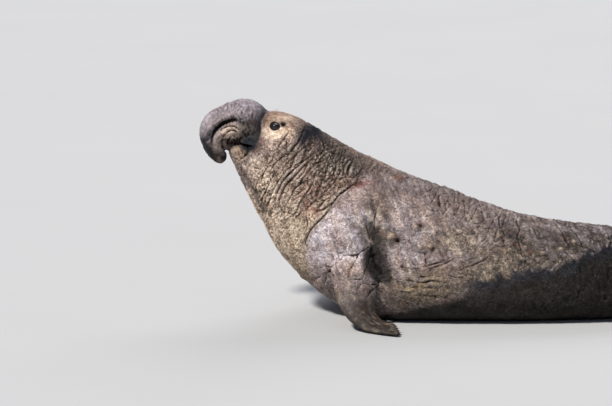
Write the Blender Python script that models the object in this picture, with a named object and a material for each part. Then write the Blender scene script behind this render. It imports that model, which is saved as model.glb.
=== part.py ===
"""A life-size northern elephant seal bull, reared up on its chest with the proboscis curled over the mouth.

Run with: blender --background --python part.py
Metres, +Z up. The bull faces -X, its left side is -Y, and its belly rests on the floor at Z = 0.
The sizes below are laid out from the shoulder joint, and the whole animal is then centred on the floor.
"""

import math

import bmesh
import bpy
import numpy as np
from mathutils import Matrix, Vector

# Overall placing
CENTRE_X = 0.679  # the middle of the animal's length, counted from the shoulder joint
GAP = 0.0003  # what neighbouring nodes keep between them

# Resolution of the faceted surfaces
BODY_SIDES = 34
NOSE_SIDES = 30

# The body, as sections from the lower jaw to the tail. Each row gives the back point (x, z), the
# belly or throat point (x, z), the half width, how far up the section is widest, and how square
# its upper and lower halves are. A belly point under the floor gives the flat that the seal lies on.
BELLY = -0.035
BODY = [
    ((-1.118, 1.202), (-1.166, 1.150), 0.030, 0.50, 2.0, 2.0),  # front of the lower jaw
    ((-1.085, 1.235), (-1.178, 1.128), 0.070, 0.50, 2.0, 2.0),
    ((-1.030, 1.300), (-1.176, 1.100), 0.105, 0.50, 2.1, 2.0),
    ((-0.955, 1.378), (-1.158, 1.060), 0.140, 0.48, 2.2, 2.0),  # corner of the mouth
    ((-0.862, 1.399), (-1.130, 1.002), 0.172, 0.47, 2.3, 2.0),  # eyes
    ((-0.780, 1.384), (-1.098, 0.930), 0.202, 0.47, 2.2, 2.0),  # cheeks
    ((-0.700, 1.354), (-1.060, 0.852), 0.232, 0.47, 2.1, 2.0),  # back of the skull
    ((-0.612, 1.306), (-1.022, 0.768), 0.262, 0.47, 2.0, 2.0),
    ((-0.515, 1.248), (-0.978, 0.684), 0.296, 0.47, 2.0, 2.0),  # middle of the neck
    ((-0.405, 1.182), (-0.934, 0.602), 0.334, 0.47, 2.0, 2.0),
    ((-0.288, 1.118), (-0.888, 0.518), 0.374, 0.47, 2.0, 2.0),  # base of the neck
    ((-0.158, 1.058), (-0.830, 0.430), 0.414, 0.47, 2.0, 2.1),
    ((-0.022, 0.994), (-0.756, 0.338), 0.450, 0.47, 2.0, 2.1),  # shoulders
    ((0.110, 0.938), (-0.660, 0.238), 0.480, 0.46, 2.0, 2.2),
    ((0.240, 0.888), (-0.536, 0.136), 0.503, 0.45, 2.0, 2.2),
    ((0.366, 0.843), (-0.366, 0.040), 0.520, 0.45, 2.0, 2.3),
    ((0.485, 0.798), (-0.150, BELLY), 0.533, 0.45, 2.0, 2.5),  # foremost part on the floor
    ((0.614, 0.748), (0.110, BELLY), 0.543, 0.45, 2.0, 2.6),
    ((0.745, 0.704), (0.390, BELLY), 0.548, 0.45, 2.0, 2.6),
    ((0.897, 0.660), (0.680, BELLY), 0.545, 0.45, 2.0, 2.6),  # widest part of the trunk
    ((1.076, 0.627), (0.960, BELLY), 0.530, 0.45, 2.0, 2.5),
    ((1.276, 0.609), (1.240, BELLY), 0.500, 0.46, 2.0, 2.4),
    ((1.480, 0.580), (1.500, BELLY), 0.458, 0.46, 2.0, 2.3),  # hips
    ((1.690, 0.525), (1.730, BELLY), 0.398, 0.46, 2.0, 2.3),
    ((1.890, 0.448), (1.930, BELLY), 0.325, 0.46, 2.0, 2.2),
    ((2.070, 0.360), (2.100, -0.025), 0.248, 0.47, 2.0, 2.2),
    ((2.220, 0.282), (2.240, 0.005), 0.172, 0.48, 2.0, 2.0),  # root of the tail
    ((2.335, 0.222), (2.345, 0.060), 0.105, 0.50, 2.2, 2.0),
    ((2.430, 0.178), (2.435, 0.100), 0.062, 0.50, 2.2, 2.0),
    ((2.500, 0.150), (2.502, 0.118), 0.028, 0.50, 2.0, 2.0),  # tip of the tail
]
RINGS_PER_ROW = [2, 2, 3, 3, 3] + [4] * 7 + [3, 3] + [2] * 14 + [1]

# The proboscis, as sections from the brow over its top to the nostrils. Each row gives the outer
# point (x, z), the inner or upper-lip point (x, z), the half width, and at what angle from the
# outer point and how deep the crease runs that parts the nasal tube from the lip pad.
NOSE = [
    ((-0.860, 1.350), (-0.960, 1.150), 0.120, 92, 0.00),
    ((-0.912, 1.402), (-0.995, 1.172), 0.146, 92, 0.00),
    ((-0.990, 1.468), (-1.048, 1.196), 0.156, 92, 0.00),
    ((-1.083, 1.486), (-1.106, 1.206), 0.156, 86, 0.10),
    ((-1.172, 1.462), (-1.160, 1.210), 0.153, 86, 0.27),
    ((-1.256, 1.424), (-1.200, 1.212), 0.149, 89, 0.34),
    ((-1.328, 1.378), (-1.221, 1.208), 0.145, 93, 0.34),
    ((-1.370, 1.312), (-1.229, 1.194), 0.139, 90, 0.30),
    ((-1.380, 1.240), (-1.227, 1.172), 0.131, 74, 0.22),
    ((-1.364, 1.168), (-1.218, 1.148), 0.121, 4, 0.07),
    ((-1.334, 1.112), (-1.205, 1.124), 0.108, 0, 0.00),
    ((-1.298, 1.070), (-1.193, 1.100), 0.092, 0, 0.00),
    ((-1.264, 1.044), (-1.192, 1.074), 0.070, 0, 0.00),
    ((-1.236, 1.036), (-1.204, 1.052), 0.036, 0, 0.00),
]
NOSE_RINGS_PER_ROW = 2
CREASE_WIDTHS = (13, 34)  # degrees, on the side of the tube and on the side of the lip pad
LIP_PAD_WIDTH = 0.93  # share of the tube's width

# Skin folds of the neck shield, and the broad swellings of the body
FOLD_ROWS = (5.6, 12.4)  # rows of BODY between which the folds run
FOLDS_PER_ROW = 1.25
FOLD_DEPTH = 0.011
SHOULDER = Vector((-0.38, 0.0, 0.67))
SHOULDER_REACH = (0.19, 0.24)
SHOULDER_RISE = 0.042
ARMPIT = Vector((-0.13, 0.0, 0.56))
ARMPIT_REACH = (0.10, 0.26)
ARMPIT_DEPTH = 0.030

# Head features
EYE_PLACE = Vector((-0.860, -0.1360, 1.3090))
EYE_RADIUS = 0.030
EYE_AXIS = Vector((-0.06, -0.84, 0.54)).normalized()
LID_RADIUS = 0.0245
LID_THICKNESS = 0.0075
EAR_PLACE = Vector((-0.807, -0.1335, 1.3280))
EAR_RADIUS = 0.010
NOSTRIL_PLACE = Vector((-1.202, -0.034, 1.070))
NOSTRIL_RADII = (0.012, 0.013, 0.020)
MOUTH_CORNER = (-1.008, 1.178)
MOUTH_FRONT = (-1.200, 1.194)
LIP_GAP_FRONT = 0.040
LIP_GAP_CORNER = 0.008
MOUTH_CORE = Vector((-1.000, 0.0, 1.176))
MOUTH_CORE_RADII = (0.118, 0.074, 0.080)
TONGUE = Vector((-1.115, 0.0, 1.176))  # fills the hollow between the lips
TONGUE_RADII = (0.130, 0.055, 0.058)

# Cuts that part the flesh into nodes, as rows of BODY
HEAD_CUT = 7.0
NECK_CUT = 10.4
CHEST_CUT = 15.3
TRUNK_CUT = 19.6
HIP_CUT = 23.6
TAIL_CUT = 26.2
BROW_LINE = ((-0.912, 1.404), (-1.008, 1.152))

# The fore flipper: centre line from inside the shoulder to the middle fingertip, on the left side
ARM_PATH = [
    Vector((-0.320, -0.330, 0.460)),
    Vector((-0.322, -0.440, 0.350)),
    Vector((-0.315, -0.535, 0.225)),
    Vector((-0.275, -0.600, 0.105)),
    Vector((-0.190, -0.655, 0.040)),
    Vector((-0.085, -0.705, 0.024)),
    Vector((0.030, -0.750, 0.020)),
]
ARM_HALF_WIDTH = [0.165, 0.158, 0.134, 0.112, 0.112, 0.126, 0.140]
ARM_HALF_THICKNESS = [0.150, 0.128, 0.085, 0.050, 0.033, 0.023, 0.014]
ARM_ACROSS = [  # from the fifth finger to the thumb side
    Vector((-1.00, -0.15, -0.10)),
    Vector((-1.00, -0.18, -0.08)),
    Vector((-0.96, -0.25, -0.05)),
    Vector((-0.80, -0.60, 0.00)),
    Vector((-0.56, -0.83, 0.00)),
    Vector((-0.47, -0.88, 0.00)),
    Vector((-0.42, -0.91, 0.00)),
]
FINGERS = 5
FINGER_LENGTHS = [0.80, 0.88, 0.94, 0.98, 1.00]  # from the fifth finger to the thumb
FINGER_RIDGE = 0.50

# The hind flipper: centre line from inside the hip to the middle toe, on the left side
FOOT_PATH = [
    Vector((2.030, -0.090, 0.190)),
    Vector((2.140, -0.125, 0.170)),
    Vector((2.250, -0.160, 0.150)),
    Vector((2.370, -0.190, 0.142)),
    Vector((2.500, -0.215, 0.140)),
    Vector((2.640, -0.240, 0.142)),
    Vector((2.780, -0.262, 0.146)),
]
FOOT_HALF_WIDTH = [0.085, 0.082, 0.076, 0.084, 0.108, 0.140, 0.172]
FOOT_HALF_THICKNESS = [0.070, 0.062, 0.046, 0.032, 0.023, 0.016, 0.009]
FOOT_ACROSS = [  # from the fifth toe, low and outside, to the first, high and inside
    Vector((0.05, 0.55, 0.83)),
    Vector((0.04, 0.55, 0.83)),
    Vector((0.02, 0.58, 0.81)),
    Vector((0.00, 0.60, 0.80)),
    Vector((0.00, 0.62, 0.78)),
    Vector((0.00, 0.63, 0.77)),
    Vector((0.00, 0.64, 0.76)),
]
TOES = 5
TOE_LENGTHS = [1.00, 0.86, 0.78, 0.85, 0.98]
TOE_RIDGE = 0.42

# Nails on the fore flippers
NAIL_LENGTH = 0.046
NAIL_RADIUS = 0.0075
NAIL_SIDES = 8
NAIL_RINGS = 5

# Finishes: name, colour as linear red, green and blue, and roughness
FINISHES = {
    "nose_skin": ((0.165, 0.125, 0.110), 0.55),
    "face_skin": ((0.330, 0.240, 0.155), 0.70),
    "shield_skin": ((0.300, 0.205, 0.150), 0.75),
    "flank_skin": ((0.235, 0.185, 0.150), 0.70),
    "flipper_skin": ((0.090, 0.072, 0.060), 0.60),
    "eye": ((0.012, 0.009, 0.008), 0.06),
    "nail": ((0.030, 0.024, 0.020), 0.35),
}


def clear_scene():
    for old in list(bpy.data.objects):
        bpy.data.objects.remove(old, do_unlink=True)


def finish(name):
    material = bpy.data.materials.get(name)
    if material is None:
        colour, roughness = FINISHES[name]
        material = bpy.data.materials.new(name)
        material.use_nodes = True
        shader = material.node_tree.nodes["Principled BSDF"]
        shader.inputs["Base Color"].default_value = (*colour, 1.0)
        shader.inputs["Roughness"].default_value = roughness
        shader.inputs["Metallic"].default_value = 0.0
        material.diffuse_color = (*colour, 1.0)
    return material


def spline(rows, place):
    """A Catmull-Rom curve through the rows, read at a place counted in rows."""
    rows = np.asarray(rows, float)
    last = len(rows) - 1
    place = min(max(place, 0.0), float(last))
    start = min(int(place), last - 1)
    t = place - start
    before = rows[start - 1] if start > 0 else 2 * rows[0] - rows[1]
    after = rows[start + 2] if start + 2 <= last else 2 * rows[last] - rows[last - 1]
    here = rows[start]
    there = rows[start + 1]
    return 0.5 * (
        2 * here
        + (there - before) * t
        + (2 * before - 5 * here + 4 * there - after) * t * t
        + (3 * here - before - 3 * there + after) * t**3
    )


def smooth_step(value, low, high):
    share = min(max((value - low) / (high - low), 0.0), 1.0)
    return share * share * (3 - 2 * share)


def rounded(value, power):
    """One coordinate of a superellipse, from the cosine or sine of its angle."""
    return math.copysign(abs(value) ** (2.0 / power), value)


BODY_ROWS = [[*back, *belly, half, low, top, base] for back, belly, half, low, top, base in BODY]
NOSE_ROWS = [[*outer, *inner, half, at, deep] for outer, inner, half, at, deep in NOSE]


def neck_fold(place, angle):
    """How far the skin stands proud of its section: creases that run round the neck and wander."""
    first, last = FOLD_ROWS
    shown = smooth_step(place, first, first + 1.5) * (1 - smooth_step(place, last - 2.5, last))
    wander = 0.22 * math.sin(2.3 * angle + 0.9) + 0.12 * math.sin(5.1 * angle + 0.7 * place)
    phase = (place * FOLDS_PER_ROW + wander) % 1.0
    crease = math.exp(-((min(phase, 1 - phase) / 0.16) ** 2))
    return -FOLD_DEPTH * shown * crease * (0.7 + 0.3 * math.cos(3 * angle))


def swelling(point, centre, reach):
    along = (point.x - centre.x) / reach[0]
    up = (point.z - centre.z) / reach[1]
    return math.exp(-(along * along + up * up))


def body_point(place, angle):
    """A point of the body's surface: place counts rows of BODY, and angle turns from the back."""
    back_x, back_z, belly_x, belly_z, half, low, top, base = spline(BODY_ROWS, place)
    back = Vector((back_x, 0.0, back_z))
    belly = Vector((belly_x, 0.0, belly_z))
    middle = belly.lerp(back, low)
    up = math.cos(angle)
    power = top if up >= 0 else base
    lift = rounded(up, power)
    across = rounded(math.sin(angle), power)
    end = back if lift >= 0 else belly
    point = middle + (end - middle) * abs(lift) + Vector((0.0, -half * across, 0.0))
    outward = (point - middle).normalized()
    point += outward * neck_fold(place, angle)
    side = abs(across) ** 1.5
    swell = SHOULDER_RISE * swelling(point, SHOULDER, SHOULDER_REACH)
    swell -= ARMPIT_DEPTH * swelling(point, ARMPIT, ARMPIT_REACH)
    point.y -= math.copysign(swell * side, across)
    return point


def nose_point(place, angle):
    """A point of the proboscis: the angle turns from its outer curve, through the left side."""
    outer_x, outer_z, inner_x, inner_z, half, crease, deep = spline(NOSE_ROWS, place)
    outer = Vector((outer_x, 0.0, outer_z))
    inner = Vector((inner_x, 0.0, inner_z))
    middle = inner.lerp(outer, 0.5)
    height = 0.5 + 0.5 * rounded(math.cos(angle), 2.3)
    across = rounded(math.sin(angle), 2.3)
    turn = math.degrees(angle if angle <= math.pi else 2 * math.pi - angle)
    past = turn - crease
    width = CREASE_WIDTHS[1] if past > 0 else CREASE_WIDTHS[0]
    pinch = 1 - deep * math.exp(-((past / width) ** 2))
    tuck = LIP_PAD_WIDTH if past > 0 and deep > 0 else 1.0
    tuck = 1 - (1 - tuck) * min(deep / 0.2, 1.0) * smooth_step(past, 0, 25)
    point = inner.lerp(outer, height) + Vector((0.0, -half * across * tuck, 0.0))
    return middle + (point - middle) * pinch


def ring_places(rings_per_row):
    """Places along the rows, with the given number of rings for each."""
    places = []
    for row, count in enumerate(rings_per_row):
        places += [row + ring / count for ring in range(count)]
    return places + [float(len(rings_per_row))]


def mesh_object(name, bm, where):
    bmesh.ops.recalc_face_normals(bm, faces=bm.faces)
    mesh = bpy.data.meshes.new(name)
    bm.to_mesh(mesh)
    bm.free()
    obj = bpy.data.objects.new(name, mesh)
    where.objects.link(obj)
    return obj


def loft(name, point_at, places, sides, where):
    """A closed skin through rings of unlike section, with a middle point at either end."""
    bm = bmesh.new()
    rings = []
    for place in places:
        angles = [2 * math.pi * side / sides for side in range(sides)]
        rings.append([bm.verts.new(point_at(place, angle)) for angle in angles])
    for one, other in zip(rings, rings[1:]):
        for side in range(sides):
            after = (side + 1) % sides
            bm.faces.new((one[side], one[after], other[after], other[side]))
    for ring in (rings[0], rings[-1]):
        middle = sum((vert.co for vert in ring), Vector()) / sides
        tip = bm.verts.new(middle)
        for side in range(sides):
            bm.faces.new((ring[side], ring[(side + 1) % sides], tip))
    return mesh_object(name, bm, where)


def apply_modifiers(obj):
    """Turns an object's evaluated shape into its own mesh."""
    graph = bpy.context.evaluated_depsgraph_get()
    graph.update()
    shaped = bpy.data.meshes.new_from_object(obj.evaluated_get(graph))
    obj.modifiers.clear()
    obj.data = shaped


def combine(obj, others, operation):
    """Joins or cuts an object with the pieces of a list, which are then removed."""
    pieces = bpy.data.collections.new("pieces")
    bpy.context.scene.collection.children.link(pieces)
    for other in others:
        pieces.objects.link(other)
    modifier = obj.modifiers.new(operation.lower(), "BOOLEAN")
    modifier.operand_type = "COLLECTION"
    modifier.collection = pieces
    modifier.operation = operation
    modifier.solver = "MANIFOLD"
    apply_modifiers(obj)
    for other in others:
        bpy.data.objects.remove(other, do_unlink=True)
    bpy.data.collections.remove(pieces)
    keep_largest(obj)


def islands_of(bm):
    """The separate surfaces of a mesh, each as a list of faces."""
    left = set(bm.faces)
    islands = []
    while left:
        island = {left.pop()}
        edge_of_search = list(island)
        while edge_of_search:
            face = edge_of_search.pop()
            for edge in face.edges:
                for near in edge.link_faces:
                    if near in left:
                        left.discard(near)
                        island.add(near)
                        edge_of_search.append(near)
        islands.append(list(island))
    return islands


def keep_largest(obj):
    """Drops every closed surface but the largest, which also fills a sealed hollow."""
    bm = bmesh.new()
    bm.from_mesh(obj.data)
    islands = sorted(islands_of(bm), key=lambda faces: sum(face.calc_area() for face in faces))
    for island in islands[:-1]:
        bmesh.ops.delete(bm, geom=island, context="FACES")
    bm.to_mesh(obj.data)
    bm.free()


def grown(obj, distance):
    """A copy whose surface stands off by a distance, to cut the gap that neighbours keep."""
    bm = bmesh.new()
    bm.from_mesh(obj.data)
    bm.normal_update()
    for vert in bm.verts:
        vert.co += vert.normal * distance * max(vert.calc_shell_factor(), 1.0)
    mesh = bpy.data.meshes.new("grown")
    bm.to_mesh(mesh)
    bm.free()
    return bpy.data.objects.new("grown", mesh)


def plane_at(place):
    """The plane of a body section, as a point and a normal that leads to the tail."""
    back_x, back_z, belly_x, belly_z = spline(BODY_ROWS, place)[:4]
    back = Vector((back_x, 0.0, back_z))
    belly = Vector((belly_x, 0.0, belly_z))
    return belly, (back - belly).cross(Vector((0.0, -1.0, 0.0))).normalized()


def plane_through(low, high):
    """The plane across the animal through two points (x, z), its normal leading to the tail."""
    below = Vector((low[0], 0.0, low[1]))
    above = Vector((high[0], 0.0, high[1]))
    return below, (above - below).cross(Vector((0.0, -1.0, 0.0))).normalized()


def sliced(name, obj, cuts, where):
    """A capped copy of a closed mesh: each cut gives a plane and the side to keep, +1 or -1."""
    bm = bmesh.new()
    bm.from_mesh(obj.data)
    for (point, normal), side in cuts:
        cut = bmesh.ops.bisect_plane(
            bm,
            geom=bm.verts[:] + bm.edges[:] + bm.faces[:],
            dist=1e-6,
            plane_co=point + normal * side * GAP / 2,
            plane_no=normal * side,
            clear_inner=True,
        )
        edges = [item for item in cut["geom_cut"] if isinstance(item, bmesh.types.BMEdge)]
        bmesh.ops.holes_fill(bm, edges=edges)
    bmesh.ops.triangulate(bm, faces=bm.faces)
    return mesh_object(name, bm, where)


def lies_flat(obj):
    """Cuts off what is under the floor and caps the cut, which leaves the flat the seal lies on."""
    bm = bmesh.new()
    bm.from_mesh(obj.data)
    cut = bmesh.ops.bisect_plane(
        bm,
        geom=bm.verts[:] + bm.edges[:] + bm.faces[:],
        dist=1e-6,
        plane_co=Vector(),
        plane_no=Vector((0.0, 0.0, 1.0)),
        clear_inner=True,
    )
    edges = [item for item in cut["geom_cut"] if isinstance(item, bmesh.types.BMEdge)]
    bmesh.ops.holes_fill(bm, edges=edges)
    bmesh.ops.triangulate(bm, faces=bm.faces)
    bm.to_mesh(obj.data)
    bm.free()


def mirrored(vector, side):
    """A left-side vector for side -1, and its mirror image for side +1."""
    return Vector((vector.x, -vector.y * side, vector.z))


def ball(name, place, radii, turn=None):
    """An ellipsoid from a sphere, not yet linked to a collection."""
    bm = bmesh.new()
    bmesh.ops.create_uvsphere(bm, u_segments=16, v_segments=10, radius=1.0)
    matrix = Matrix.Translation(place)
    if turn is not None:
        matrix = matrix @ turn.to_track_quat("Z", "Y").to_matrix().to_4x4()
    matrix = matrix @ Matrix.Diagonal((*radii, 1.0))
    bmesh.ops.transform(bm, matrix=matrix, verts=bm.verts)
    mesh = bpy.data.meshes.new(name)
    bm.to_mesh(mesh)
    bm.free()
    return bpy.data.objects.new(name, mesh)


def lid_ring(side):
    """The lids round one eye, as a torus on the eye's axis."""
    place = mirrored(EYE_PLACE + EYE_AXIS * 0.0165, side)
    axis = mirrored(EYE_AXIS, side)
    bpy.ops.mesh.primitive_torus_add(
        major_segments=18,
        minor_segments=6,
        major_radius=LID_RADIUS,
        minor_radius=LID_THICKNESS,
        location=place,
        rotation=axis.to_track_quat("Z", "Y").to_euler(),
    )
    ring = bpy.context.object
    ring.data.transform(ring.matrix_world)
    ring.matrix_world = Matrix.Identity(4)
    for collection in list(ring.users_collection):
        collection.objects.unlink(ring)
    return ring


def mouth_slot():
    """The parted lips: a wedge that narrows to the corners, round a core that keeps the jaws joined."""
    corner_x, corner_z = MOUTH_CORNER
    front_x, front_z = MOUTH_FRONT
    bm = bmesh.new()
    outline = (
        (corner_x, corner_z - LIP_GAP_CORNER / 2),
        (corner_x, corner_z + LIP_GAP_CORNER / 2),
        (front_x, front_z + LIP_GAP_FRONT / 2),
        (front_x, front_z - LIP_GAP_FRONT / 2),
    )
    corners = [bm.verts.new((x, -0.30, z)) for x, z in outline]
    face = bm.faces.new(corners)
    swept = bmesh.ops.extrude_face_region(bm, geom=[face])["geom"]
    moved = [item for item in swept if isinstance(item, bmesh.types.BMVert)]
    bmesh.ops.translate(bm, verts=moved, vec=(0.0, 0.60, 0.0))
    slot = mesh_object("mouth_slot", bm, bpy.context.scene.collection)
    combine(slot, [ball("mouth_core", MOUTH_CORE, MOUTH_CORE_RADII)], "DIFFERENCE")
    bpy.context.scene.collection.objects.unlink(slot)
    return slot


def prism(name, outline, half_depth):
    """A solid of the outline (x, z), as wide as twice half_depth across the animal."""
    bm = bmesh.new()
    face = bm.faces.new([bm.verts.new((x, -half_depth, z)) for x, z in outline])
    swept = bmesh.ops.extrude_face_region(bm, geom=[face])["geom"]
    moved = [item for item in swept if isinstance(item, bmesh.types.BMVert)]
    bmesh.ops.translate(bm, verts=moved, vec=(0.0, 2 * half_depth, 0.0))
    obj = mesh_object(name, bm, bpy.context.scene.collection)
    bpy.context.scene.collection.objects.unlink(obj)
    return obj


def paddle(name, path, half_widths, half_thicknesses, across_rows, lengths, ridge, side, where):
    """A flipper: a flattened arm that widens into webbed digits, each with its own length and ridge."""
    digits = len(lengths)
    steps = 14
    half_ring = 3 * digits + 1
    last = len(path) - 1
    bm = bmesh.new()
    rings = []
    for step in range(steps + 1):
        share = step / steps
        ring = []
        for around in range(2 * half_ring):
            top = around < half_ring
            column = around if top else 2 * half_ring - 1 - around
            spread = column / (half_ring - 1)
            digit_reach = float(np.interp(spread * (digits - 1), range(digits), lengths))
            web = 0.5 - 0.5 * math.cos(2 * math.pi * digits * spread)
            splay = smooth_step(share, 0.45, 0.80)
            reach = 1 - splay * (1 - digit_reach * (0.955 + 0.045 * web))
            place = last * share * reach
            middle = Vector(spline([list(point) for point in path], place))
            ahead = Vector(spline([list(point) for point in path], place + 0.05))
            behind = Vector(spline([list(point) for point in path], place - 0.05))
            across = Vector(spline([list(row) for row in across_rows], place)).normalized()
            along = (ahead - behind).normalized()
            across = (across - along * across.dot(along)).normalized()
            normal = across.cross(along).normalized()
            if normal.z < 0:
                normal = -normal
            half = float(spline(half_widths, place))
            thick = float(spline(half_thicknesses, place))
            offset = 2 * spread - 1
            edge = max(1 - abs(offset) ** 2.6, 0.0) ** 0.5
            webbed = 1 - ridge * splay * (1 - web)
            lift = thick * (0.16 + 0.84 * edge) * webbed
            tip_round = math.sqrt(max(1 - smooth_step(share, 0.88, 1.12) ** 2, 0.05))
            point = middle + across * half * offset + normal * lift * tip_round * (1 if top else -1)
            ring.append(bm.verts.new(mirrored(point, side)))
        rings.append(ring)
    count = 2 * half_ring
    for one, other in zip(rings, rings[1:]):
        for index in range(count):
            after = (index + 1) % count
            bm.faces.new((one[index], one[after], other[after], other[index]))
    for ring in (rings[0], rings[-1]):
        for index in range(half_ring - 1):
            opposite = count - 1 - index
            bm.faces.new((ring[index], ring[index + 1], ring[opposite - 1], ring[opposite]))
    bmesh.ops.triangulate(bm, faces=bm.faces)
    return mesh_object(name, bm, where)


def finger_tip(finger, side):
    """Where a finger of the fore flipper ends, the way it points, and the way up from it."""
    digits = len(FINGER_LENGTHS)
    column = 2 * finger + 1
    spread = column / (2 * digits)
    reach = float(np.interp(spread * (digits - 1), range(digits), FINGER_LENGTHS))
    last = len(ARM_PATH) - 1
    path = [list(point) for point in ARM_PATH]

    def at(place):
        middle = Vector(spline(path, place))
        across = Vector(spline([list(row) for row in ARM_ACROSS], place)).normalized()
        half = float(spline(ARM_HALF_WIDTH, place))
        return middle + across * half * (2 * spread - 1)

    tip = at(last * reach)
    root = at(last * (reach - 0.10))
    thick = float(spline(ARM_HALF_THICKNESS, last * (reach - 0.10)))
    along = (tip - root).normalized()
    up = Vector((0.0, 0.0, 1.0))
    up = (up - along * up.dot(along)).normalized()
    return mirrored(root + up * thick * 0.80, side), mirrored(along, side), mirrored(up, side)


def nail(name, finger, side, where):
    """A curved, tapering nail that lies on the end of its finger."""
    root, along, up = finger_tip(finger, side)
    across = along.cross(up)
    bm = bmesh.new()
    rings = []
    for ring in range(NAIL_RINGS):
        share = ring / (NAIL_RINGS - 1)
        radius = NAIL_RADIUS * (1 - share) ** 0.55 + 0.0012
        arch = 0.006 * math.sin(math.pi * share * 0.9)
        middle = root + along * NAIL_LENGTH * share + up * (arch + 0.002 - 0.006 * share)
        ring_verts = []
        for step in range(NAIL_SIDES):
            angle = 2 * math.pi * step / NAIL_SIDES
            spot = middle + across * radius * math.cos(angle) + up * radius * 0.75 * math.sin(angle)
            ring_verts.append(bm.verts.new(spot))
        rings.append(ring_verts)
    for one, other in zip(rings, rings[1:]):
        for step in range(NAIL_SIDES):
            after = (step + 1) % NAIL_SIDES
            bm.faces.new((one[step], one[after], other[after], other[step]))
    bm.faces.new(rings[0])
    bm.faces.new(rings[-1])
    bmesh.ops.triangulate(bm, faces=bm.faces)
    return mesh_object(name, bm, where)


def whole_flesh(seal):
    """Head, neck and trunk as one closed surface, with the mouth, nostrils, ears and eye sockets cut."""
    body = loft("flesh", body_point, ring_places(RINGS_PER_ROW), BODY_SIDES, seal)
    nose_places = ring_places([NOSE_RINGS_PER_ROW] * (len(NOSE) - 1))
    nose = loft("nose", nose_point, nose_places, NOSE_SIDES, seal)
    seal.objects.unlink(nose)
    rings = [lid_ring(side) for side in (-1, 1)]
    combine(body, [nose, *rings], "UNION")
    cutters = [mouth_slot()]
    for side in (-1, 1):
        socket_radii = [EYE_RADIUS + 2 * GAP] * 3
        cutters.append(ball("socket", mirrored(EYE_PLACE, side), socket_radii, mirrored(EYE_AXIS, side)))
        cutters.append(ball("ear_hole", mirrored(EAR_PLACE, side), [EAR_RADIUS] * 3))
        cutters.append(ball("nostril", mirrored(NOSTRIL_PLACE, side), NOSTRIL_RADII))
    combine(body, cutters, "DIFFERENCE")
    combine(body, [ball("tongue", TONGUE, TONGUE_RADII)], "UNION")
    lies_flat(body)
    return body


def flesh_nodes(body, seal):
    """Parts the flesh into its named lengths by thin cuts."""
    brow = plane_through(BROW_LINE[1], BROW_LINE[0])
    places = {
        "head": (brow, plane_at(HEAD_CUT)),
        "neck": (plane_at(HEAD_CUT), plane_at(NECK_CUT)),
        "chest": (plane_at(NECK_CUT), plane_at(CHEST_CUT)),
        "trunk": (plane_at(CHEST_CUT), plane_at(TRUNK_CUT)),
        "hips": (plane_at(TRUNK_CUT), plane_at(HIP_CUT)),
        "rump": (plane_at(HIP_CUT), plane_at(TAIL_CUT)),
    }
    nodes = {}
    for name, (front, rear) in places.items():
        nodes[name] = sliced(name, body, ((front, 1), (rear, -1)), seal)
    nodes["tail"] = sliced("tail", body, ((plane_at(TAIL_CUT), 1),), seal)
    face = sliced("proboscis", body, ((brow, -1),), seal)
    corner_x, corner_z = MOUTH_CORNER
    front_x, front_z = MOUTH_FRONT
    jaw_outline = (
        (corner_x + 0.25, corner_z + 0.25 * (corner_z - front_z) / (corner_x - front_x)),
        (front_x, front_z),
        (front_x + 0.012, corner_z - 0.20),
        (front_x + 0.20, corner_z - 0.45),
        (corner_x + 0.25, corner_z - 0.45),
    )
    jaw = sliced("lower_jaw", body, ((brow, -1),), seal)
    jaw_space = prism("jaw_space", jaw_outline, 0.3)
    combine(face, [grown(jaw_space, GAP)], "DIFFERENCE")
    combine(jaw, [jaw_space], "INTERSECT")
    nodes["proboscis"] = face
    nodes["lower_jaw"] = jaw
    return nodes


def build():
    clear_scene()
    seal = bpy.data.collections.new("elephant_seal")
    bpy.context.scene.collection.children.link(seal)
    body = whole_flesh(seal)
    nodes = flesh_nodes(body, seal)
    bpy.data.objects.remove(body, do_unlink=True)
    slots = {
        "proboscis": "nose_skin",
        "lower_jaw": "face_skin",
        "head": "face_skin",
        "neck": "shield_skin",
        "chest": "shield_skin",
        "trunk": "flank_skin",
        "hips": "flank_skin",
        "rump": "flank_skin",
        "tail": "flank_skin",
    }
    for side, word in ((-1, "left"), (1, "right")):
        fore = paddle(
            f"fore_flipper_{word}",
            ARM_PATH,
            ARM_HALF_WIDTH,
            ARM_HALF_THICKNESS,
            ARM_ACROSS,
            FINGER_LENGTHS,
            FINGER_RIDGE,
            side,
            seal,
        )
        lies_flat(fore)
        combine(fore, [grown(nodes[name], GAP) for name in ("neck", "chest")], "DIFFERENCE")
        hind = paddle(
            f"hind_flipper_{word}",
            FOOT_PATH,
            FOOT_HALF_WIDTH,
            FOOT_HALF_THICKNESS,
            FOOT_ACROSS,
            TOE_LENGTHS,
            TOE_RIDGE,
            side,
            seal,
        )
        lies_flat(hind)
        combine(hind, [grown(nodes[name], GAP) for name in ("rump", "tail")], "DIFFERENCE")
        eye = ball(f"eye_{word}", mirrored(EYE_PLACE, side), [EYE_RADIUS] * 3, mirrored(EYE_AXIS, side))
        seal.objects.link(eye)
        nodes[fore.name] = fore
        nodes[hind.name] = hind
        nodes[eye.name] = eye
        slots[fore.name] = "flipper_skin"
        slots[hind.name] = "flipper_skin"
        slots[eye.name] = "eye"
        for finger in range(FINGERS):
            claw = nail(f"nail_{word}_{FINGERS - finger}", finger, side, seal)
            combine(claw, [grown(fore, GAP)], "DIFFERENCE")
            nodes[claw.name] = claw
            slots[claw.name] = "nail"
    centre = bpy.data.objects.new("centre", None)
    centre.location = (-CENTRE_X, 0.0, 0.0)
    seal.objects.link(centre)
    for name, node in nodes.items():
        node.data.materials.clear()
        node.data.materials.append(finish(slots[name]))
        node.data.shade_smooth()
        node.parent = centre


build()
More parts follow.
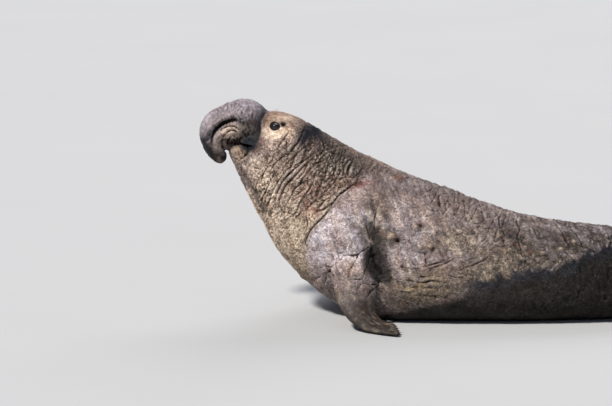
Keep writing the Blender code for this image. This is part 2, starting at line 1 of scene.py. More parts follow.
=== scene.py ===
"""A life-size bull elephant seal, dressed for display: hide, coat, wet eyes, horn nails, whiskers.

The hide is made from the same named sections as the solids. It is joined at a fine grain, then its
creases, scars and lumps are moved into the surface, and its markings are kept as attributes.
Lengths are in metres. The sections are laid out from the shoulder joint, like the solids' own.
"""

import math

import bmesh
import bpy
import numpy as np
from mathutils import Matrix, Vector


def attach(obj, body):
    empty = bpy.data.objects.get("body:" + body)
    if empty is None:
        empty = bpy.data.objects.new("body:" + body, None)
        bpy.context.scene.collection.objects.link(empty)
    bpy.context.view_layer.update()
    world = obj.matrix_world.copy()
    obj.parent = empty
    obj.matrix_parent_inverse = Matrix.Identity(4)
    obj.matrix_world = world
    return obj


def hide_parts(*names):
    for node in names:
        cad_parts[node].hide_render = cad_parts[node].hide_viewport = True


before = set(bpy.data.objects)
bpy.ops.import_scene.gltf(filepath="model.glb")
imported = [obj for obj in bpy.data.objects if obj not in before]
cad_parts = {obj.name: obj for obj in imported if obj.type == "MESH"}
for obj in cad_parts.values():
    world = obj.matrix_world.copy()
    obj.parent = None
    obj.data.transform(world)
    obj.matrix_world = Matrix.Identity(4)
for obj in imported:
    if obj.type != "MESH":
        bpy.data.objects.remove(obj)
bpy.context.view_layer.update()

CENTRE_X = 0.679  # the middle of the animal's length, counted from the shoulder joint
SIDES = ((-1, "left"), (1, "right"))
VIEW_LEAN = 0.1763  # how much lower a point shows for each metre that it is nearer, seen from 10 degrees up
GRAIN = 0.0052  # how fine the joined hide is
HIDE_TRIANGLES = 196000
LOCKS = 19000  # in each of the six parts of the coat
COAT_SEED, WHISKER_SEED = 501, 610
COAT_ENDS = (0.08, 1.02)  # where the front and middle parts of the coat end

# Sections of the body from the lower jaw to the tail: back point (x, z), belly point (x, z), half
# width, how far up it is widest, and how square its upper and lower halves are.
BELLY = -0.035
BODY = [
    (-1.118, 1.202, -1.166, 1.150, 0.030, 0.50, 2.0, 2.0),  # front of the lower jaw
    (-1.085, 1.235, -1.178, 1.128, 0.070, 0.50, 2.0, 2.0),
    (-1.030, 1.300, -1.176, 1.100, 0.105, 0.50, 2.1, 2.0),
    (-0.955, 1.378, -1.158, 1.060, 0.140, 0.48, 2.2, 2.0),  # corner of the mouth
    (-0.862, 1.399, -1.130, 1.002, 0.172, 0.47, 2.3, 2.0),  # eyes
    (-0.780, 1.384, -1.098, 0.930, 0.202, 0.47, 2.2, 2.0),  # cheeks
    (-0.700, 1.354, -1.060, 0.852, 0.232, 0.47, 2.1, 2.0),  # back of the skull
    (-0.612, 1.306, -1.022, 0.768, 0.262, 0.47, 2.0, 2.0),
    (-0.515, 1.248, -0.978, 0.684, 0.296, 0.47, 2.0, 2.0),  # middle of the neck
    (-0.405, 1.182, -0.934, 0.602, 0.334, 0.47, 2.0, 2.0),
    (-0.288, 1.118, -0.888, 0.518, 0.374, 0.47, 2.0, 2.0),  # base of the neck
    (-0.158, 1.058, -0.830, 0.430, 0.414, 0.47, 2.0, 2.1),
    (-0.022, 0.994, -0.756, 0.338, 0.450, 0.47, 2.0, 2.1),  # shoulders
    (0.110, 0.938, -0.660, 0.238, 0.480, 0.46, 2.0, 2.2),
    (0.240, 0.888, -0.536, 0.136, 0.503, 0.45, 2.0, 2.2),
    (0.366, 0.843, -0.366, 0.040, 0.520, 0.45, 2.0, 2.3),
    (0.485, 0.798, -0.150, BELLY, 0.533, 0.45, 2.0, 2.5),  # foremost part on the floor
    (0.614, 0.748, 0.110, BELLY, 0.543, 0.45, 2.0, 2.6),
    (0.745, 0.704, 0.390, BELLY, 0.548, 0.45, 2.0, 2.6),
    (0.897, 0.660, 0.680, BELLY, 0.545, 0.45, 2.0, 2.6),  # widest part of the trunk
    (1.076, 0.627, 0.960, BELLY, 0.530, 0.45, 2.0, 2.5),
    (1.276, 0.609, 1.240, BELLY, 0.500, 0.46, 2.0, 2.4),
    (1.480, 0.580, 1.500, BELLY, 0.458, 0.46, 2.0, 2.3),  # hips
    (1.690, 0.525, 1.730, BELLY, 0.398, 0.46, 2.0, 2.3),
    (1.890, 0.448, 1.930, BELLY, 0.325, 0.46, 2.0, 2.2),
    (2.070, 0.360, 2.100, -0.025, 0.248, 0.47, 2.0, 2.2),
    (2.220, 0.282, 2.240, 0.005, 0.172, 0.48, 2.0, 2.0),  # root of the tail
    (2.335, 0.222, 2.345, 0.060, 0.105, 0.50, 2.2, 2.0),
    (2.430, 0.178, 2.435, 0.100, 0.062, 0.50, 2.2, 2.0),
    (2.500, 0.150, 2.502, 0.118, 0.028, 0.50, 2.0, 2.0),  # tip of the tail
]

# Sections of the proboscis from the brow over its top to the nostrils: outer point (x, z), inner
# or upper-lip point (x, z), half width, and the angle and depth of the crease over the lip pad.
NOSE = [
    (-0.860, 1.350, -0.960, 1.150, 0.120, 92, 0.00),
    (-0.912, 1.402, -0.995, 1.172, 0.146, 92, 0.00),
    (-0.990, 1.468, -1.048, 1.196, 0.156, 92, 0.00),
    (-1.083, 1.486, -1.106, 1.206, 0.156, 86, 0.10),
    (-1.172, 1.462, -1.160, 1.210, 0.153, 86, 0.27),
    (-1.256, 1.424, -1.200, 1.212, 0.149, 89, 0.34),
    (-1.328, 1.378, -1.221, 1.208, 0.145, 93, 0.34),
    (-1.370, 1.312, -1.229, 1.194, 0.139, 90, 0.30),
    (-1.380, 1.240, -1.227, 1.172, 0.131, 74, 0.22),
    (-1.364, 1.168, -1.218, 1.148, 0.121, 4, 0.07),
    (-1.334, 1.112, -1.205, 1.124, 0.108, 0, 0.00),
    (-1.298, 1.070, -1.193, 1.100, 0.092, 0, 0.00),
    (-1.264, 1.044, -1.192, 1.074, 0.070, 0, 0.00),
    (-1.236, 1.036, -1.204, 1.052, 0.036, 0, 0.00),
]
CREASE_WIDTHS = (11, 22)  # degrees, on the side of the tube and on the side of the lip pad
LIP_PAD_WIDTH = 0.93

# The fore flipper from inside the shoulder to the fingertips, and the hind flipper from inside the
# hip to the toe tips: centre (x, y, z), across (x, y, z), half width and half thickness.
ARM = [
    (-0.320, -0.330, 0.460, -1.00, -0.15, -0.10, 0.165, 0.150),
    (-0.322, -0.440, 0.350, -1.00, -0.18, -0.08, 0.158, 0.128),
    (-0.315, -0.535, 0.225, -0.96, -0.25, -0.05, 0.134, 0.085),
    (-0.275, -0.600, 0.105, -0.80, -0.60, 0.00, 0.112, 0.050),
    (-0.190, -0.655, 0.040, -0.56, -0.83, 0.00, 0.112, 0.033),
    (-0.085, -0.705, 0.024, -0.47, -0.88, 0.00, 0.126, 0.023),
    (0.030, -0.750, 0.020, -0.42, -0.91, 0.00, 0.140, 0.014),
]
FOOT = [
    (2.030, -0.090, 0.190, 0.05, 0.55, 0.83, 0.085, 0.070),
    (2.140, -0.125, 0.170, 0.04, 0.55, 0.83, 0.082, 0.062),
    (2.250, -0.160, 0.150, 0.02, 0.58, 0.81, 0.076, 0.046),
    (2.370, -0.190, 0.142, 0.00, 0.60, 0.80, 0.084, 0.032),
    (2.500, -0.215, 0.140, 0.00, 0.62, 0.78, 0.108, 0.023),
    (2.640, -0.240, 0.142, 0.00, 0.63, 0.77, 0.140, 0.016),
    (2.780, -0.262, 0.146, 0.00, 0.64, 0.76, 0.172, 0.009),
]
FINGER_LENGTHS = [0.80, 0.88, 0.94, 0.98, 1.00]
TOE_LENGTHS = [1.00, 0.86, 0.78, 0.85, 0.98]

# Swellings: centre (x, z), reach along and up, and how far the skin stands out
SHOULDER = (-0.38, 0.67, 0.19, 0.24, 0.042)
ARMPIT = (-0.13, 0.56, 0.10, 0.26, -0.030)

# Head features, on the left side
EYE = Vector((-0.860, -0.1360, 1.3090))
EYE_AXIS = Vector((-0.06, -0.84, 0.54)).normalized()
EYE_RADIUS = 0.030
LID_RADIUS = 0.0276
LID_THICKNESS = 0.0042
EAR = Vector((-0.803, -0.1335, 1.3280))
NOSTRIL = Vector((-1.202, -0.034, 1.070))
MOUTH_CORNER = (-1.008, 1.178)
MOUTH_FRONT = (-1.200, 1.194)
LIP_GAPS = (0.010, 0.040)  # at the corner and in front
MOUTH_CORE = (Vector((-1.000, 0.0, 1.176)), (0.118, 0.074, 0.080))
TONGUE = (Vector((-1.115, 0.0, 1.176)), (0.130, 0.055, 0.058))
WHISKERS = (  # on the lip pad, then over the eye: ends of a row in centimetres, how many, length
    ((-121.5, 128.0), (-109.5, 127.0), 5, 0.045),
    ((-124.0, 124.8), (-110.5, 124.0), 6, 0.060),
    ((-125.5, 121.0), (-112.0, 120.8), 6, 0.070),
    ((-88.8, 137.0), (-85.2, 138.4), 3, 0.050),
)


def spline(rows, places):
    """Catmull-Rom curves through the rows, read at an array of places counted in rows."""
    rows = np.asarray(rows, float)
    last = len(rows) - 1
    padded = np.vstack([2 * rows[0] - rows[1], rows, 2 * rows[last] - rows[last - 1]])
    places = np.clip(np.asarray(places, float), 0, last)
    start = np.minimum(places.astype(int), last - 1)
    t = (places - start)[..., None]
    before, here, there, after = (padded[start + step] for step in range(4))
    return 0.5 * (
        2 * here
        + (there - before) * t
        + (2 * before - 5 * here + 4 * there - after) * t**2
        + (3 * here - before - 3 * there + after) * t**3
    )


def rounded(values, power):
    return np.sign(values) * np.abs(values) ** (2.0 / power)


def ramp(values, low, high):
    """A soft step from 0 at low to 1 at high; it falls where high is the smaller."""
    share = np.clip((values - low) / (high - low), 0, 1)
    return share * share * (3 - 2 * share)


def bell(values, width):
    return np.exp(-((values / width) ** 2))


def unit(vectors):
    return vectors / np.linalg.norm(vectors, axis=-1, keepdims=True)


def square_to(axis, vectors):
    """Unit vectors turned square to unit vectors of an axis."""
    return unit(vectors - axis * (vectors * axis).sum(-1, keepdims=True))


def distance(points, spot):
    return np.linalg.norm(points - np.array(spot), axis=1)


def mirrored(vector, side):
    """A left-side vector for side -1, and its mirror image for side +1."""
    return Vector((vector.x, -vector.y * side, vector.z))


def eye_spot(side, out=0.0):
    """A point on one eye's axis, so far out from the middle of the eyeball."""
    return mirrored(EYE + EYE_AXIS * out, side)


def body_skin(places, angles):
    """Points of the body for a grid of places along it and angles from the back."""
    rows = spline(BODY, places)[:, None, :]
    back, belly = rows[..., 0:2], rows[..., 2:4]
    up = np.cos(angles)[None, :]
    power = np.where(up >= 0, rows[..., 6], rows[..., 7])
    lift = rounded(up, power)
    across = rounded(np.sin(angles)[None, :], power)
    middle = belly + (back - belly) * rows[..., 5:6]
    end = np.where((lift >= 0)[..., None], back, belly)
    flat = middle + (end - middle) * np.abs(lift)[..., None]
    y = -rows[..., 4] * across
    for x, z, along, high, rise in (SHOULDER, ARMPIT):
        near = np.exp(-(((flat[..., 0] - x) / along) ** 2) - ((flat[..., 1] - z) / high) ** 2)
        y = y - np.sign(across) * rise * near * np.abs(across) ** 1.5
    return np.stack([flat[..., 0], y, flat[..., 1]], -1)


def nose_skin(places, angles):
    """Points of the proboscis, whose tube hangs over the lip pad with a deep crease between."""
    rows = spline(NOSE, places)[:, None, :]
    outer, inner, deep = rows[..., 0:2], rows[..., 2:4], rows[..., 6]
    angles = angles[None, :]
    height = 0.5 + 0.5 * rounded(np.cos(angles), 2.3)
    across = rounded(np.sin(angles), 2.3)
    past = np.degrees(np.where(angles <= math.pi, angles, 2 * math.pi - angles)) - rows[..., 5]
    pinch = 1 - deep * bell(past, np.where(past > 0, CREASE_WIDTHS[1], CREASE_WIDTHS[0]))
    tuck = 1 - (1 - LIP_PAD_WIDTH) * np.clip(deep / 0.2, 0, 1) * ramp(past, 0, 25)
    middle = 0.5 * (outer + inner)
    flat = inner + (outer - inner) * height[..., None]
    flat = middle + (flat - middle) * pinch[..., None]
    y = -rows[..., 4] * across * tuck * pinch
    return np.stack([flat[..., 0], y, flat[..., 1]], -1)


def paddle_skin(rows, lengths, ridge, side):
    """A rule for the points of a flipper: webbed digits, each with its own length and ridge."""
    digits, last = len(lengths), len(rows) - 1

    def skin(places, angles):
        share = (places / places.max())[:, None]
        turn = angles[None, :] / math.pi
        top = turn < 1
        spread = np.where(top, turn, 2 - turn)
        digit_reach = np.interp(spread * (digits - 1), range(digits), lengths)
        web = (0.5 - 0.5 * np.cos(2 * math.pi * digits * spread)) ** 0.7
        splay = ramp(share, 0.45, 0.80)
        place = last * share * (1 - splay * (1 - digit_reach * (0.955 + 0.045 * web)))
        here = spline(rows, place)
        along = unit(spline(rows, place + 0.05)[..., :3] - spline(rows, place - 0.05)[..., :3])
        across = square_to(along, here[..., 3:6])
        normal = np.cross(across, along)
        normal *= np.where(normal[..., 2:3] < 0, -1, 1)
        offset = 2 * spread - 1
        edge = np.sqrt(np.maximum(1 - np.abs(offset) ** 2.6, 0))
        tip = np.sqrt(np.maximum(1 - ramp(share, 0.88, 1.12) ** 2, 0.05))
        lift = here[..., 7] * (0.16 + 0.84 * edge) * (1 - ridge * splay * (1 - web)) * tip
        lift = (lift * np.where(top, 1, -1))[..., None]
        points = here[..., :3] + across * (here[..., 6] * offset)[..., None] + normal * lift
        points[..., 1] *= -side
        return points

    return skin


def linked(name, data):
    """A new object in the scene."""
    item = bpy.data.objects.new(name, data)
    bpy.context.scene.collection.objects.link(item)
    return item


def made(name, bm):
    """A finished bmesh as a new object in the scene."""
    mesh = bpy.data.meshes.new(name)
    bm.to_mesh(mesh)
    bm.free()
    return linked(name, mesh)


def to_frame(piece):
    """Moves a piece's mesh from the shoulder's coordinates to the model's own."""
    piece.data.transform(Matrix.Translation((-CENTRE_X, 0.0, 0.0)))
    piece.data.shade_smooth()
    return piece


def read(items, field, width, kind=np.float32):
    """A field of every item, one row for each."""
    flat = np.empty(len(items) * width, kind)
    items.foreach_get(field, flat)
    return flat.reshape(-1, width)


def write(items, field, values):
    items.foreach_set(field, np.ascontiguousarray(values, np.float32).ravel())


def points_of(mesh):
    return read(mesh.vertices, "co", 3).astype(float)


def normals_of(mesh):
    return read(mesh.vertex_normals, "vector", 3).astype(float)


def set_points(mesh, points):
    write(mesh.vertices, "co", points)
    mesh.update()


def keep(mesh, name, values, kind="FLOAT"):
    """Keeps one value for each point of the mesh under a name that the materials read."""
    field = {"FLOAT": "value", "FLOAT_VECTOR": "vector", "FLOAT_COLOR": "color"}[kind]
    write(mesh.attributes.new(name, kind, "POINT").data, field, values)


def closed_tube(name, skin, places, sides):
    """A grid bent into a closed tube by a rule for its points, with its seam and ends closed."""
    bm = bmesh.new()
    bmesh.ops.create_grid(bm, x_segments=len(places) - 1, y_segments=sides, size=0.5)
    spots = skin(np.asarray(places, float), np.arange(sides) * (2 * math.pi / sides))
    for vert in bm.verts:
        ring, step = round((vert.co.x + 0.5) * (len(places) - 1)), round((vert.co.y + 0.5) * sides)
        vert.co = spots[ring, step % sides]
    bmesh.ops.remove_doubles(bm, verts=bm.verts, dist=1e-6)
    bmesh.ops.holes_fill(bm, edges=[edge for edge in bm.edges if edge.is_boundary])
    bmesh.ops.recalc_face_normals(bm, faces=bm.faces)
    return made(name, bm)


def ball(place, radii):
    """An ellipsoid from a sphere."""
    bm = bmesh.new()
    bmesh.ops.create_uvsphere(bm, u_segments=40, v_segments=24, radius=1.0)
    bmesh.ops.scale(bm, vec=radii, verts=bm.verts)
    bmesh.ops.translate(bm, vec=place, verts=bm.verts)
    return made("ball", bm)


def slab(outline, half_depth):
    """A solid of the outline (x, z), as wide as twice half_depth across the animal."""
    bm = bmesh.new()
    face = bm.faces.new([bm.verts.new((x, -half_depth, z)) for x, z in outline])
    swept = bmesh.ops.extrude_face_region(bm, geom=[face])["geom"]
    moved = [item for item in swept if isinstance(item, bmesh.types.BMVert)]
    bmesh.ops.translate(bm, verts=moved, vec=(0.0, 2 * half_depth, 0.0))
    bmesh.ops.recalc_face_normals(bm, faces=bm.faces)
    return made("slab", bm)


def apply_modifiers(piece):
    graph = bpy.context.evaluated_depsgraph_get()
    graph.update()
    shaped = bpy.data.meshes.new_from_object(piece.evaluated_get(graph))
    piece.modifiers.clear()
    piece.data = shaped


def combine(piece, others, operation):
    """Joins or cuts a piece with the others, which are then removed."""
    group = bpy.data.collections.new("others")
    bpy.context.scene.collection.children.link(group)
    for other in others:
        group.objects.link(other)
    modifier = piece.modifiers.new(operation.lower(), "BOOLEAN")
    modifier.operand_type = "COLLECTION"
    modifier.collection = group
    modifier.operation = operation
    modifier.solver = "MANIFOLD"
    apply_modifiers(piece)
    for other in others:
        bpy.data.objects.remove(other, do_unlink=True)
    bpy.data.collections.remove(group)


def mouth_slot():
    """The parted lips: a wedge round a core that keeps the jaws joined."""
    outline = []
    for (x, z), gap in zip((MOUTH_CORNER, MOUTH_FRONT), (-LIP_GAPS[0], LIP_GAPS[1])):
        outline += [(x, z + gap / 2), (x, z - gap / 2)]
    slot = slab(outline, 0.30)
    combine(slot, [ball(*MOUTH_CORE)], "DIFFERENCE")
    return slot


def places_for(rows, rings):
    """Places along a list of sections, so many to each."""
    last = len(rows) - 1
    return np.array([row + ring / rings for row in range(last) for ring in range(rings)] + [float(last)])


def joined_flesh():
    """Every form of flesh as one closed surface, with mouth, nostrils, ears and sockets cut."""
    body = closed_tube("hide", body_skin, places_for(BODY, 6), 120)
    forms = [closed_tube("nose", nose_skin, places_for(NOSE, 8), 110)]
    cutters = [mouth_slot()]
    for side, _ in SIDES:
        for rows, lengths, ridge in ((ARM, FINGER_LENGTHS, 0.50), (FOOT, TOE_LENGTHS, 0.42)):
            skin = paddle_skin(rows, lengths, ridge, side)
            forms.append(closed_tube("flipper", skin, np.linspace(0, 1, 60), 120))
        for place, radii in (
            (EYE, [EYE_RADIUS + 0.001] * 3),
            (EAR, [0.013] * 3),
            (NOSTRIL, (0.012, 0.013, 0.020)),
        ):
            cutters.append(ball(mirrored(place, side), radii))
    combine(body, forms, "UNION")
    combine(body, cutters, "DIFFERENCE")
    combine(body, [ball(*TONGUE)], "UNION")
    combine(body, [slab(((-2, -1), (3, -1), (3, 0.0), (-2, 0.0)), 2.0)], "DIFFERENCE")  # below the floor
    remesh = body.modifiers.new("grain", "REMESH")
    remesh.mode = "VOXEL"
    remesh.voxel_size = GRAIN
    apply_modifiers(body)
    return body


def hashed(*cells):
    """A fixed number from 0 to 1 for each whole-numbered cell, as if drawn at random."""
    mixed = np.zeros(np.shape(cells[0]), np.uint32)
    for cell, prime in zip(cells, (374761393, 668265263, 2246822519, 3266489917)):
        mixed ^= np.asarray(cell).astype(np.int64).astype(np.uint32) * np.uint32(prime)
        mixed = (mixed ^ (mixed >> np.uint32(13))) * np.uint32(1274126177)
    return (mixed ^ (mixed >> np.uint32(16))) / 2.0**32


def noise(points, size, seed):
    """Smooth lumps from -1 to 1, about size metres apart; size may differ along each axis."""
    scaled = points / np.asarray(size)
    home = np.floor(scaled)
    share = scaled - home
    share = share * share * (3 - 2 * share)
    total = np.zeros(len(points))
    for step in np.ndindex(2, 2, 2):
        weight = np.prod(np.where(step, share, 1 - share), axis=1)
        total += weight * hashed(*(home + step).T, seed)
    return 2 * total - 1


def rough_noise(points, size, seed, layers=3):
    """Noise with finer noise on it, each layer half as large and half as coarse."""
    total = 0
    for layer in range(layers):
        total = total + 0.5**layer * noise(points, np.asarray(size) * 0.5**layer, seed + layer)
    return total / (2 - 0.5 ** (layers - 1))


def cracks(points, size, seed):
    """How far each point is from the borders of scattered cells, in cell sizes: 0 on a border."""
    scaled = points / np.asarray(size)
    home = np.floor(scaled)
    first = np.full(len(points), 9.0)
    second = first.copy()
    for step in np.ndindex(3, 3, 3):
        cell = home + step - 1
        seeds = np.stack([hashed(*cell.T, seed + axis) for axis in range(3)], 1)
        away = np.sqrt(((cell + seeds - scaled) ** 2).sum(1))
        second = np.minimum(second, np.maximum(first, away))
        first = np.minimum(first, away)
    return second - first


def section_map(rows, low, high, step=0.012):
    """A rule that says which section of a list passes through points (x, z) of the middle plane."""
    low = np.array(low)
    xs, zs = (np.arange(a, b + step, step) for a, b in zip(low, high))
    grid = np.stack(np.meshgrid(xs, zs, indexing="ij"), -1).reshape(-1, 2)
    nearest = np.full(len(grid), np.inf)
    table = np.zeros(len(grid))
    for place in np.linspace(0, len(rows) - 1, 20 * (len(rows) - 1) + 1):
        row = spline(rows, place)
        way = row[0:2] - row[2:4]
        share = np.clip(((grid - row[2:4]) @ way) / (way @ way), -0.1, 1.1)
        away = ((grid - row[2:4] - share[:, None] * way) ** 2).sum(1)
        nearer = away < nearest
        nearest[nearer] = away[nearer]
        table[nearer] = place
    table = table.reshape(len(xs), len(zs))
    inner = sum(table[i : len(xs) - 2 + i, j : len(zs) - 2 + j] for i in range(3) for j in range(3))
    table[1:-1, 1:-1] = inner / 9

    def section_at(flat):
        spot = np.clip((flat - low) / step, 0, np.array(table.shape) - 1.001)
        home = spot.astype(int)
        (a, b), (i, j) = (spot - home).T, home.T
        lower = table[i, j] * (1 - a) + table[i + 1, j] * a
        upper = table[i, j + 1] * (1 - a) + table[i + 1, j + 1] * a
        return lower * (1 - b) + upper * b

    return section_at


def distances_along(rows):
    """Metres from the first section to each one, along the middle of the sections."""
    rows = np.asarray(rows)
    middle = 0.5 * (rows[:, 0:2] + rows[:, 2:4])
    return np.concatenate([[0], np.cumsum(np.linalg.norm(np.diff(middle, axis=0), axis=1))])


class Places:
    """Where points of the hide lie on the animal.

    side_x, side_z: as on a flat side view taken from 10 degrees above
    place, nose_place: which section of the body, and which of the proboscis
    ring, nose_ring: metres along those sections, across the animal, and up the section
    up: from -1 at the belly, over 0 where the body is widest, to 1 at the back
    on_body: 1, and 0 on the flippers
    """

    def __init__(self, points):
        self.points = points
        self.x, self.y, self.z = points.T
        self.place, self.ring, rows, length = self.measured(BODY, BODY_MAP)
        self.nose_place, self.nose_ring, *_ = self.measured(NOSE, NOSE_MAP)
        high, middle = self.ring[:, 2], rows[:, 5] * length
        self.up = (high - middle) / np.where(high > middle, length - middle, middle)
        wide = np.abs(self.y) / (rows[:, 4] + 0.035)
        self.on_body = 1 - ramp((np.abs(self.up) ** 2.2 + wide**2.2) ** (1 / 2.2), 1.10, 1.22)
        wander = 0.003 + 0.022 * ramp(self.y, 0.0, 0.12)  # so that the two sides differ
        lean = self.z - VIEW_LEAN * np.abs(self.y)
        self.side_x = self.x + wander * noise(points, 0.17, 11)
        self.side_z = lean + wander * noise(points, 0.17, 12)

    def measured(self, sections, section_at):
        flat = self.points[:, (0, 2)]
        place = section_at(flat)
        along = np.interp(place, range(len(sections)), distances_along(sections))
        rows = spline(sections, place)
        way = rows[:, 0:2] - rows[:, 2:4]
        length = np.linalg.norm(way, axis=1)
        high = ((flat - rows[:, 2:4]) * way).sum(1) / length
        return place, np.stack([along, self.y, high], 1), rows, length

    def past(self, line):
        """How far the points are behind a line (along, up; centimetres, from the top down)."""
        line = np.asarray(line) / 100
        order = np.argsort(line[:, 1])
        return self.side_x - np.interp(self.side_z, line[order, 1], line[order, 0])

    def near(self, *marks):
        """How far the points are from a curve through marks along, up, along, up... in centimetres
        on the side view, and how far along it, from 0 to 1."""
        marks = np.reshape(marks, (-1, 2)) / 100
        line = spline(marks, np.linspace(0, len(marks) - 1, 6 * (len(marks) - 1) + 1))
        nearest, share = np.full(len(self.points), 9.0), np.zeros(len(self.points))
        spots = np.stack([self.side_x, self.side_z], 1)
        within = (spots > line.min(0) - 0.06) & (spots < line.max(0) + 0.06)
        chosen = np.flatnonzero(within.all(1))
        spots = spots[chosen]
        for step, (one, other) in enumerate(zip(line, line[1:])):
            way = other - one
            t = np.clip(((spots - one) @ way) / max(way @ way, 1e-12), 0, 1)
            away = np.linalg.norm(spots - one - t[:, None] * way, axis=1)
            nearer = away < nearest[chosen]
            nearest[chosen[nearer]] = away[nearer]
            share[chosen[nearer]] = (step + t[nearer]) / (len(line) - 1)
        return nearest, share

    def patch(self, x, z, along, up, tilt=0.0):
        """A soft round patch on the side view; its place and reach are in centimetres."""
        turn = math.radians(tilt)
        right, rise = self.side_x - x / 100, self.side_z - z / 100
        a = (right * math.cos(turn) + rise * math.sin(turn)) / (along / 100)
        b = (rise * math.cos(turn) - right * math.sin(turn)) / (up / 100)
        return np.exp(-a * a - b * b)


BODY_MAP = section_map(BODY, (-1.45, -0.05), (2.90, 1.55))
NOSE_MAP = section_map(NOSE, (-1.45, 0.95), (-0.75, 1.55), 0.008)

# Lines on the side view, in centimetres behind the shoulder and up
NOSE_EDGE = (
    (-90.0, 142.0), (-91.0, 139.7), (-94.5, 132.7), (-95.5, 124.0), (-98.6, 114.5), (-99.5, 111.0),
)
SHIELD_EDGE = (
    (-22.0, 100.0), (-31.0, 90.7), (-37.2, 85.8), (-42.8, 81.6), (-47.6, 75.3), (-53.1, 66.9),
    (-57.2, 62.7), (-62.1, 57.1), (-64.8, 51.5), (-65.9, 44.0), (-66.0, 20.0),
)

